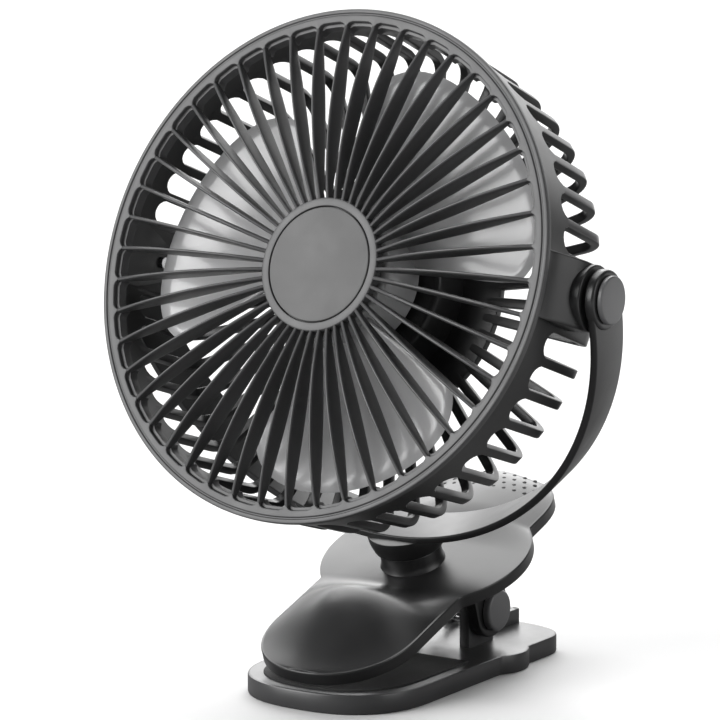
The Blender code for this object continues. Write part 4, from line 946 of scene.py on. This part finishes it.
class CLIPFAN_OT_yoke(bpy.types.Operator):
    """U-shaped band, round arm ends, tapered collar, stem and the pivot caps"""

    bl_idname = "clip_fan.yoke"
    bl_label = "Yoke"

    def execute(self, context):
        turn = np.linspace(math.pi, 2 * math.pi, 121)
        radius = YOKE_INNER + YOKE_THICKNESS / 2
        path = np.stack((radius * np.cos(turn), 0 * turn, radius * np.sin(turn)), -1)
        section = box_section(YOKE_WIDTH, YOKE_THICKNESS, 0.6 * MM, 4)
        parts = [moved(swept(path, (0.0, 1.0, 0.0), section), YOKE_FRAME)]
        outer = YOKE_OUTER + ARM_END_STAND_OUT
        seat = YOKE_INNER + 1.2 * MM
        middle, well, end_radius = 0.1 * MM, 5.4 * MM, 8.4 * MM
        end = rounded(
            ((middle, seat), (well, seat), (well, outer), (end_radius, outer), (end_radius, YOKE_INNER),
             (middle, YOKE_INNER)),
            np.array((0.0, 0.1, 0.15, 0.9, 0.4, 0.0)) * MM, 4,
        )
        for _, axis in SIDES:
            parts.append(turned(end, YOKE_FRAME, 64, axis))
        foot = -YOKE_OUTER - 5.2 * MM
        stem_end = -YOKE_OUTER - 13.1 * MM
        top = -YOKE_INNER - YOKE_THICKNESS / 2
        stem = 5.0 * MM
        collar = eased_ends(
            ((0.0, top), (12.0 * MM, top), (11.8 * MM, -YOKE_OUTER - 1.5 * MM), (10.6 * MM, foot),
             (stem, foot), (stem, stem_end), (0.0, stem_end)),
            np.array((0.2, 1.2, 0.7, 0.6, 0.3)) * MM, 4,
        )
        parts.append(turned(collar, YOKE_FRAME, 64))
        make_piece("yoke_moulding", parts, finish("shell"), "yoke", ["yoke"])
        low = outer + 0.3 * MM
        high = low + 1.5 * MM
        plug_end = low - 1.0 * MM
        cap_radius, plug = 6.8 * MM, 5.1 * MM
        cap = eased_ends(
            ((0.0, high), (cap_radius, high - 0.05 * MM), (cap_radius, low), (plug, low),
             (plug, plug_end), (0.0, plug_end)),
            np.array((0.6, 0.15, 0.1, 0.2)) * MM, 5,
        )
        for label, axis in SIDES:
            make_piece("pivot_cap_face_" + label, [turned(cap, YOKE_FRAME, 64, axis)], finish("cap"),
                       "yoke", ["pivot_cap_" + label])
        return {"FINISHED"}


class CLIPFAN_OT_upper_jaw(bpy.types.Operator):
    """Domed cover of the upper jaw with its rounded rim, skirt, neck boss and grip dots"""

    bl_idname = "clip_fan.upper_jaw"
    bl_label = "Upper jaw"

    def execute(self, context):
        sizes = context.scene.clip_fan_clip
        y = crowded(JAW_FRONT, JAW_REAR, 181)
        half = jaw_half_width(y)
        rim = sizes.rim
        foot = JAW_RISE - SKIRT
        wall = 1.8 * MM
        levels = ((1.3 * rim, JAW_RISE), (0.4 * rim, JAW_RISE - 0.12 * rim),
                  (0.1 * rim, JAW_RISE - 0.5 * rim), (0.0, JAW_RISE - rim),
                  (0.05 * MM, JAW_RISE - 1.4 * rim), (0.0, foot + 0.4 * MM), (0.1 * MM, foot + 0.1 * MM),
                  (0.4 * MM, foot), (wall, foot), (wall, foot + 1.2 * MM))
        parts = [plate(y, half, levels, JAW_FRAME, jaw_height, 61)]
        neck_frame = (placed((0.0, -NECK_AHEAD, 0.0), JAW_FRAME), JAW_FRAME[1])
        boss_foot = JAW_RISE + 0.3 * MM
        boss_top = JAW_RISE + 6.4 * MM
        hole, outside = 5.3 * MM, 9.4 * MM
        boss = eased_ends(
            ((hole, boss_top - 2 * MM), (hole, boss_top), (outside, boss_top),
             (outside, boss_foot + 2 * MM), (outside + 1.0 * MM, boss_foot), (hole, boss_foot)),
            np.array((0.15, 0.5, 1.0, 0.2)) * MM, 5,
        )
        parts.append(turned(boss, neck_frame, 64))
        make_piece("jaw_cover", parts, finish("shell"), "upper_jaw", ["jaw_shell"], 38.0)
        dots = []
        radius = sizes.grip_dot
        sunk = -0.4 * MM
        dome = ((0.0, 0.12 * MM), (0.6 * radius, 0.09 * MM), (radius, -0.1 * MM), (radius, sunk),
                (0.0, sunk))
        rows, widest, first_row = 4, 11, 34.5 * MM
        row_step, dot_step = 3.2 * MM, 3.6 * MM
        for row in range(rows):
            along = first_row + row_step * row
            count = widest - row
            for k in range(count):
                x = (k - (count - 1) / 2) * dot_step
                part = x / float(jaw_half_width(np.array(along)))
                rise = JAW_RISE + float(jaw_height(np.array(part), np.array(along)))
                spot = (placed((x, along, rise), JAW_FRAME), JAW_FRAME[1])
                dots.append(turned(dome, spot, 14, closed=False))
        make_piece("grip_dots", dots, finish("dot"), "upper_jaw")
        return {"FINISHED"}


def ear_plate(inside, radius, reach, thickness, side, place, edge=0.45 * MM):
    """A plate on one side of the hinge with a round end: its half width is the radius down to the
    hinge axis and the circle's chord beyond it. reach is where its straight end is."""
    away = -math.copysign(1.0, reach)
    bend = away * radius * np.sin(np.linspace(0, math.pi / 2, 20))
    along = np.concatenate((np.linspace(reach, 0, 6)[:-1], bend))
    half = np.sqrt(np.maximum(radius**2 - np.where(along * away > 0, along, 0.0) ** 2, 0.0))
    order = np.argsort(along)
    low = inside if side > 0 else -inside - thickness
    high = low + thickness
    levels = ((edge, high), (0.3 * edge, high - 0.3 * edge), (0.0, high - edge), (0.0, low + edge),
              (0.3 * edge, low + 0.3 * edge), (edge, low))
    origin, axes = place
    turned_axes = np.stack((axes[1], axes[2], axes[0]))
    return plate(along[order], half[order], levels, (origin, turned_axes), None, 9)


class CLIPFAN_OT_base(bpy.types.Operator):
    """Base plate with rounded edges, its ears, the spring's rest, and the hinge caps"""

    bl_idname = "clip_fan.base"
    bl_label = "Base"

    def execute(self, context):
        edge = context.scene.clip_fan_clip.plate_edge
        y = crowded(BASE_FRONT, BASE_REAR, 161)
        levels = ((edge, BASE_THICKNESS), (0.3 * edge, BASE_THICKNESS - 0.25 * edge),
                  (0.0, BASE_THICKNESS - edge), (0.0, edge), (0.3 * edge, 0.25 * edge), (edge, 0.0))
        parts = [plate(y, base_half_width(y), levels, WORLD, None, 31)]
        reach = BASE_THICKNESS - 1.0 * MM - HINGE[2]
        for side in (-1, 1):
            parts.append(ear_plate(11.5 * MM, 7.0 * MM, reach, EAR_THICKNESS, side, HINGE_FRAME))
        rear = HINGE[1] + 31.0 * MM
        front = rear - 13.0 * MM
        wall = 2.0 * MM
        top = BASE_THICKNESS + 4.5 * MM
        low = BASE_THICKNESS - 1.0 * MM
        short = 0.3 * MM  # each wall's end stays inside the wall that it meets
        outer = 10 * MM
        end = outer - short
        side_middle = outer - wall / 2
        gap_start, gap_end = -7.0 * MM, -3.2 * MM
        section = box_section(wall, top - low, 0.3 * MM)
        for corners in (
            ((-end, rear - wall / 2), (end, rear - wall / 2)),
            ((-side_middle, front + short), (-side_middle, rear - short)),
            ((side_middle, front + short), (side_middle, rear - short)),
            ((-end, front + wall / 2), (gap_start, front + wall / 2)),
            ((gap_end, front + wall / 2), (end, front + wall / 2)),
        ):
            ends = np.array([(*corner, (top + low) / 2) for corner in corners])
            path = ends[:1] + (ends[1:] - ends[:1]) * np.array((0.0, 0.02, 0.98, 1.0))[:, None]
            parts.append(swept(path, np.cross(AXIS, ends[1] - ends[0]), section))
        make_piece("base_moulding", parts, finish("base"), "base", ["base_plate"])
        low = 19.5 * MM
        high = low + 2.6 * MM
        cap_radius = 6.4 * MM
        cap = eased_ends(((0.0, high), (cap_radius, high - 0.25 * MM), (cap_radius, low), (0.0, low)),
                         np.array((1.2, 0.2)) * MM, 6)
        for label, axis in SIDES:
            make_piece("hinge_cap_face_" + label, [turned(cap, HINGE_FRAME, 48, axis)], finish("cap"),
                       "base", ["hinge_cap_" + label])
        return {"FINISHED"}


class CLIPFAN_OT_jaw_underside(bpy.types.Operator):
    """Plate that closes the upper jaw from below, with its ears, and the lower rubber grip pad"""

    bl_idname = "clip_fan.jaw_underside"
    bl_label = "Jaw underside"

    def execute(self, context):
        low = JAW_RISE - SKIRT + 0.3 * MM
        high = low + 1.6 * MM
        inset = 2.4 * MM
        y = crowded(JAW_FRONT, JAW_REAR, 121)
        edge = 0.3 * MM
        levels = ((inset + edge, high), (inset, high - edge), (inset, low + edge), (inset + edge, low))
        parts = [plate(y, jaw_half_width(y), levels, JAW_FRAME, None, 21)]
        for side in (-1, 1):
            parts.append(ear_plate(15.5 * MM, 8.5 * MM, high - edge, EAR_THICKNESS, side, JAW_FRAME))
        make_piece("jaw_floor", parts, finish("shell"), "upper_jaw", ["jaw_underplate"])
        lowest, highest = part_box("lower_pad")
        curve = 27 * MM
        y = crowded(lowest.y, highest.y, 61)
        half = (highest.x - lowest.x) / 2 * lobe(lowest.y + curve - y, curve, 2.5)
        edge = 0.25 * MM
        levels = ((edge, highest.z), (0.0, highest.z - edge), (0.0, lowest.z), (edge, lowest.z))
        pad = [plate(y, half, levels, WORLD, None, 15)]
        make_piece("lower_pad_rubber", pad, finish("rubber"), "base", ["lower_pad"])
        return {"FINISHED"}


class CLIPFAN_OT_clip_spring(bpy.types.Operator):
    """Torsion spring: round wire wound about the hinge axis, shaped for the jaw at rest"""

    bl_idname = "clip_fan.clip_spring"
    bl_label = "Clip spring"

    def execute(self, context):
        wire, coil, turns, pitch, leg = 0.8 * MM, 4.4 * MM, 5, 2.0 * MM, 19.0 * MM
        end = turns * pitch / 2
        slope = math.atan2(-NECK_UP[1], NECK_UP[2])
        gap = 0.6 * MM
        reach = JAW_RISE - SKIRT - wire - gap
        top_leg = np.array((leg * math.cos(slope) - reach * math.sin(slope),
                            leg * math.sin(slope) + reach * math.cos(slope)))
        low_leg = np.array((leg, BASE_THICKNESS + wire + gap - HINGE[2]))
        last = math.atan2(top_leg[1], top_leg[0]) + math.acos(coil / np.linalg.norm(top_leg))
        start = math.radians(-60)
        angle = np.linspace(start, turns * 2 * math.pi + last, 220)
        x = np.linspace(-end, end, len(angle))
        helix = np.stack((x, coil * np.cos(angle), coil * np.sin(angle)), -1)
        first = np.array((-end, *low_leg))
        final = np.array((end, *top_leg))
        share_of = np.linspace(0, 1, 12)[:-1, None]
        path = np.concatenate((first + (helix[0] - first) * share_of, helix,
                               final + (helix[-1] - final) * share_of[::-1]))
        around = np.linspace(0, 2 * math.pi, 14, endpoint=False)
        section = np.stack((wire * np.cos(around), wire * np.sin(around)), -1)
        parts = [moved(swept(path, (1.0, 0.0, 0.0), section), HINGE_FRAME)]
        piece = make_piece("spring_wire", parts, finish("spring"), None, ["clip_spring"], 60.0)
        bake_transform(piece)
        return {"FINISHED"}


class CLIPFAN_OT_fittings(bpy.types.Operator):
    """Rear cover, port and pads in their own shapes, and a finish on every other frame node"""

    bl_idname = "clip_fan.fittings"
    bl_label = "Fittings"

    def execute(self, context):
        for node, look, slot, body, bevel in (
            ("motor_cover", "shell", "shell", "head", 0.25 * MM),
            ("power_button", "button", "button", "button", 0.15 * MM),
            ("charge_port", "steel", "steel", "head", 0.05 * MM),
            ("upper_pad", "rubber", "rubber", "upper_jaw", 0.12 * MM),
        ):
            dressed_copy(node, finish(look), body, bevel)
        looks = {"battery_cell": "foil", "control_board": "board", "tact_switch": "magnet",
                 "stator_core": "copper", "magnet_ring": "magnet", "indicator_lens": "lens"}
        for name, node in frame["nodes"].items():
            if node.hide_render:
                continue
            node.data.materials.clear()
            node.data.materials.append(finish(looks.get(name, "steel")))
        return {"FINISHED"}


class CLIPFAN_OT_studio(bpy.types.Operator):
    """Floor that the camera sees evenly pale, with painted shade for its reflections and bounced light,
    darkest near the fan; soft lights, even surroundings and the camera
    """

    bl_idname = "clip_fan.studio"
    bl_label = "Studio"

    def execute(self, context):
        scene = context.scene
        sizes = scene.clip_fan_studio
        mesh = bpy.data.meshes.new("floor")
        far = 6.0
        corners = [(-far, -far, 0), (far, -far, 0), (far, far, 0), (-far, far, 0)]
        mesh.from_pydata(corners, [], [(0, 1, 2, 3)])
        floor = bpy.data.objects.new("floor", mesh)
        scene.collection.objects.link(floor)
        made, tree, shader = start_finish("pale_floor_painted_shade")
        place = tree.nodes.new("ShaderNodeTexCoord").outputs["Object"]
        seen = tree.nodes.new("ShaderNodeLightPath").outputs["Is Camera Ray"]
        away = tree.nodes.new("ShaderNodeVectorMath")
        away.operation = "LENGTH"
        tree.links.new(place, away.inputs[0])
        # Painted shade: rays other than the camera's see the floor dark, darkest within 0.15 m of the fan,
        # so that its reflections and bounced light leave the fan's undersides dark. The camera sees it
        # evenly pale.
        painted_shade_near_tone, painted_shade_far_tone, camera_tone = 0.2, 0.75, 0.88
        painted_shade_bounce = map_range(tree, away.outputs["Value"], painted_shade_near_tone, painted_shade_far_tone, 0.15, 0.6, "SMOOTHSTEP")
        tone = map_range(tree, seen, painted_shade_bounce, camera_tone)
        tinted(tree, shader, tone, 0.02, noise_node(tree, place, 3.0))
        shader.inputs["Roughness"].default_value = 0.9
        mesh.materials.append(made)
        world = bpy.data.worlds.new("studio")
        world.use_nodes = True
        tree = world.node_tree
        background = tree.nodes["Background"]
        background.inputs["Color"].default_value = (1.0, 1.0, 1.0, 1.0)
        seen = tree.nodes.new("ShaderNodeLightPath").outputs["Is Camera Ray"]
        feed(tree, background.inputs["Strength"], map_range(tree, seen, 0.06, 1.0))
        scene.world = world
        scene.view_settings.view_transform = "Standard"
        for name, toward, spread, strength in (
            ("overhead", (-0.4, 0.5, 0.77), 60.0, 3.2),
            ("front_left", (-0.55, -0.74, 0.37), 42.0, 2.9),
            ("right", (0.93, 0.1, 0.35), 40.0, 0.8),
            ("low_back", (-0.2, 0.93, 0.3), 50.0, 1.0),
            ("low_left", (-0.75, 0.62, 0.24), 40.0, 0.45),
        ):
            light = bpy.data.lights.new(name, "SUN")
            light.angle = math.radians(spread)
            light.energy = strength
            lamp = bpy.data.objects.new(name, light)
            lamp.rotation_euler = Vector(toward).to_track_quat("Z", "Y").to_euler()
            scene.collection.objects.link(lamp)
        azimuth, elevation = sizes.azimuth, sizes.elevation
        back = Vector((math.sin(azimuth) * math.cos(elevation), -math.cos(azimuth) * math.cos(elevation),
                       math.sin(elevation)))
        right = Vector((math.cos(azimuth), math.sin(azimuth), 0.0))
        up = back.cross(right)
        camera = bpy.data.objects.new("camera", bpy.data.cameras.new("camera"))
        camera.data.lens = sizes.lens
        camera.data.sensor_width = 36.0
        camera.data.clip_end = 50.0
        origin = Vector(PIVOT) + back * sizes.distance + right * sizes.slide - up * sizes.drop
        turn = Matrix((right, up, back)).transposed().to_4x4()
        camera.matrix_world = Matrix.Translation(origin) @ turn
        scene.collection.objects.link(camera)
        scene.camera = camera
        return {"FINISHED"}


class CLIPFAN_PT_panel(bpy.types.Panel):
    bl_label = "Clip fan"
    bl_idname = "CLIPFAN_PT_panel"
    bl_space_type = "VIEW_3D"
    bl_region_type = "UI"
    bl_category = "Clip fan"

    def draw(self, context):
        for operator in OPERATORS:
            self.layout.operator(operator.bl_idname)
        for name, group in SETTINGS.items():
            box = self.layout.box()
            box.label(text=name.replace("clip_fan_", "").capitalize())
            for prop in group.__annotations__:
                box.prop(getattr(context.scene, name), prop)


SETTINGS = {
    "clip_fan_grille": CLIPFAN_PG_grille,
    "clip_fan_cage": CLIPFAN_PG_cage,
    "clip_fan_blades": CLIPFAN_PG_blades,
    "clip_fan_clip": CLIPFAN_PG_clip,
    "clip_fan_finish": CLIPFAN_PG_finish,
    "clip_fan_studio": CLIPFAN_PG_studio,
}
OPERATORS = (
    CLIPFAN_OT_front_grille,
    CLIPFAN_OT_rear_cage,
    CLIPFAN_OT_impeller,
    CLIPFAN_OT_yoke,
    CLIPFAN_OT_upper_jaw,
    CLIPFAN_OT_base,
    CLIPFAN_OT_jaw_underside,
    CLIPFAN_OT_clip_spring,
    CLIPFAN_OT_fittings,
    CLIPFAN_OT_studio,
)


def register():
    for group in SETTINGS.values():
        bpy.utils.register_class(group)
    for name, group in SETTINGS.items():
        setattr(bpy.types.Scene, name, bpy.props.PointerProperty(type=group))
    for operator in OPERATORS:
        bpy.utils.register_class(operator)
    bpy.utils.register_class(CLIPFAN_PT_panel)


def unregister():
    bpy.utils.unregister_class(CLIPFAN_PT_panel)
    for operator in reversed(OPERATORS):
        bpy.utils.unregister_class(operator)
    for name in SETTINGS:
        delattr(bpy.types.Scene, name)
    for group in SETTINGS.values():
        bpy.utils.unregister_class(group)


def main():
    """Registers the classes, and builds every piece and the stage."""
    register()
    for operator in OPERATORS:
        group, name = operator.bl_idname.split(".")
        getattr(getattr(bpy.ops, group), name)()
    bpy.context.view_layer.update()


if __name__ == "__main__":
    main()
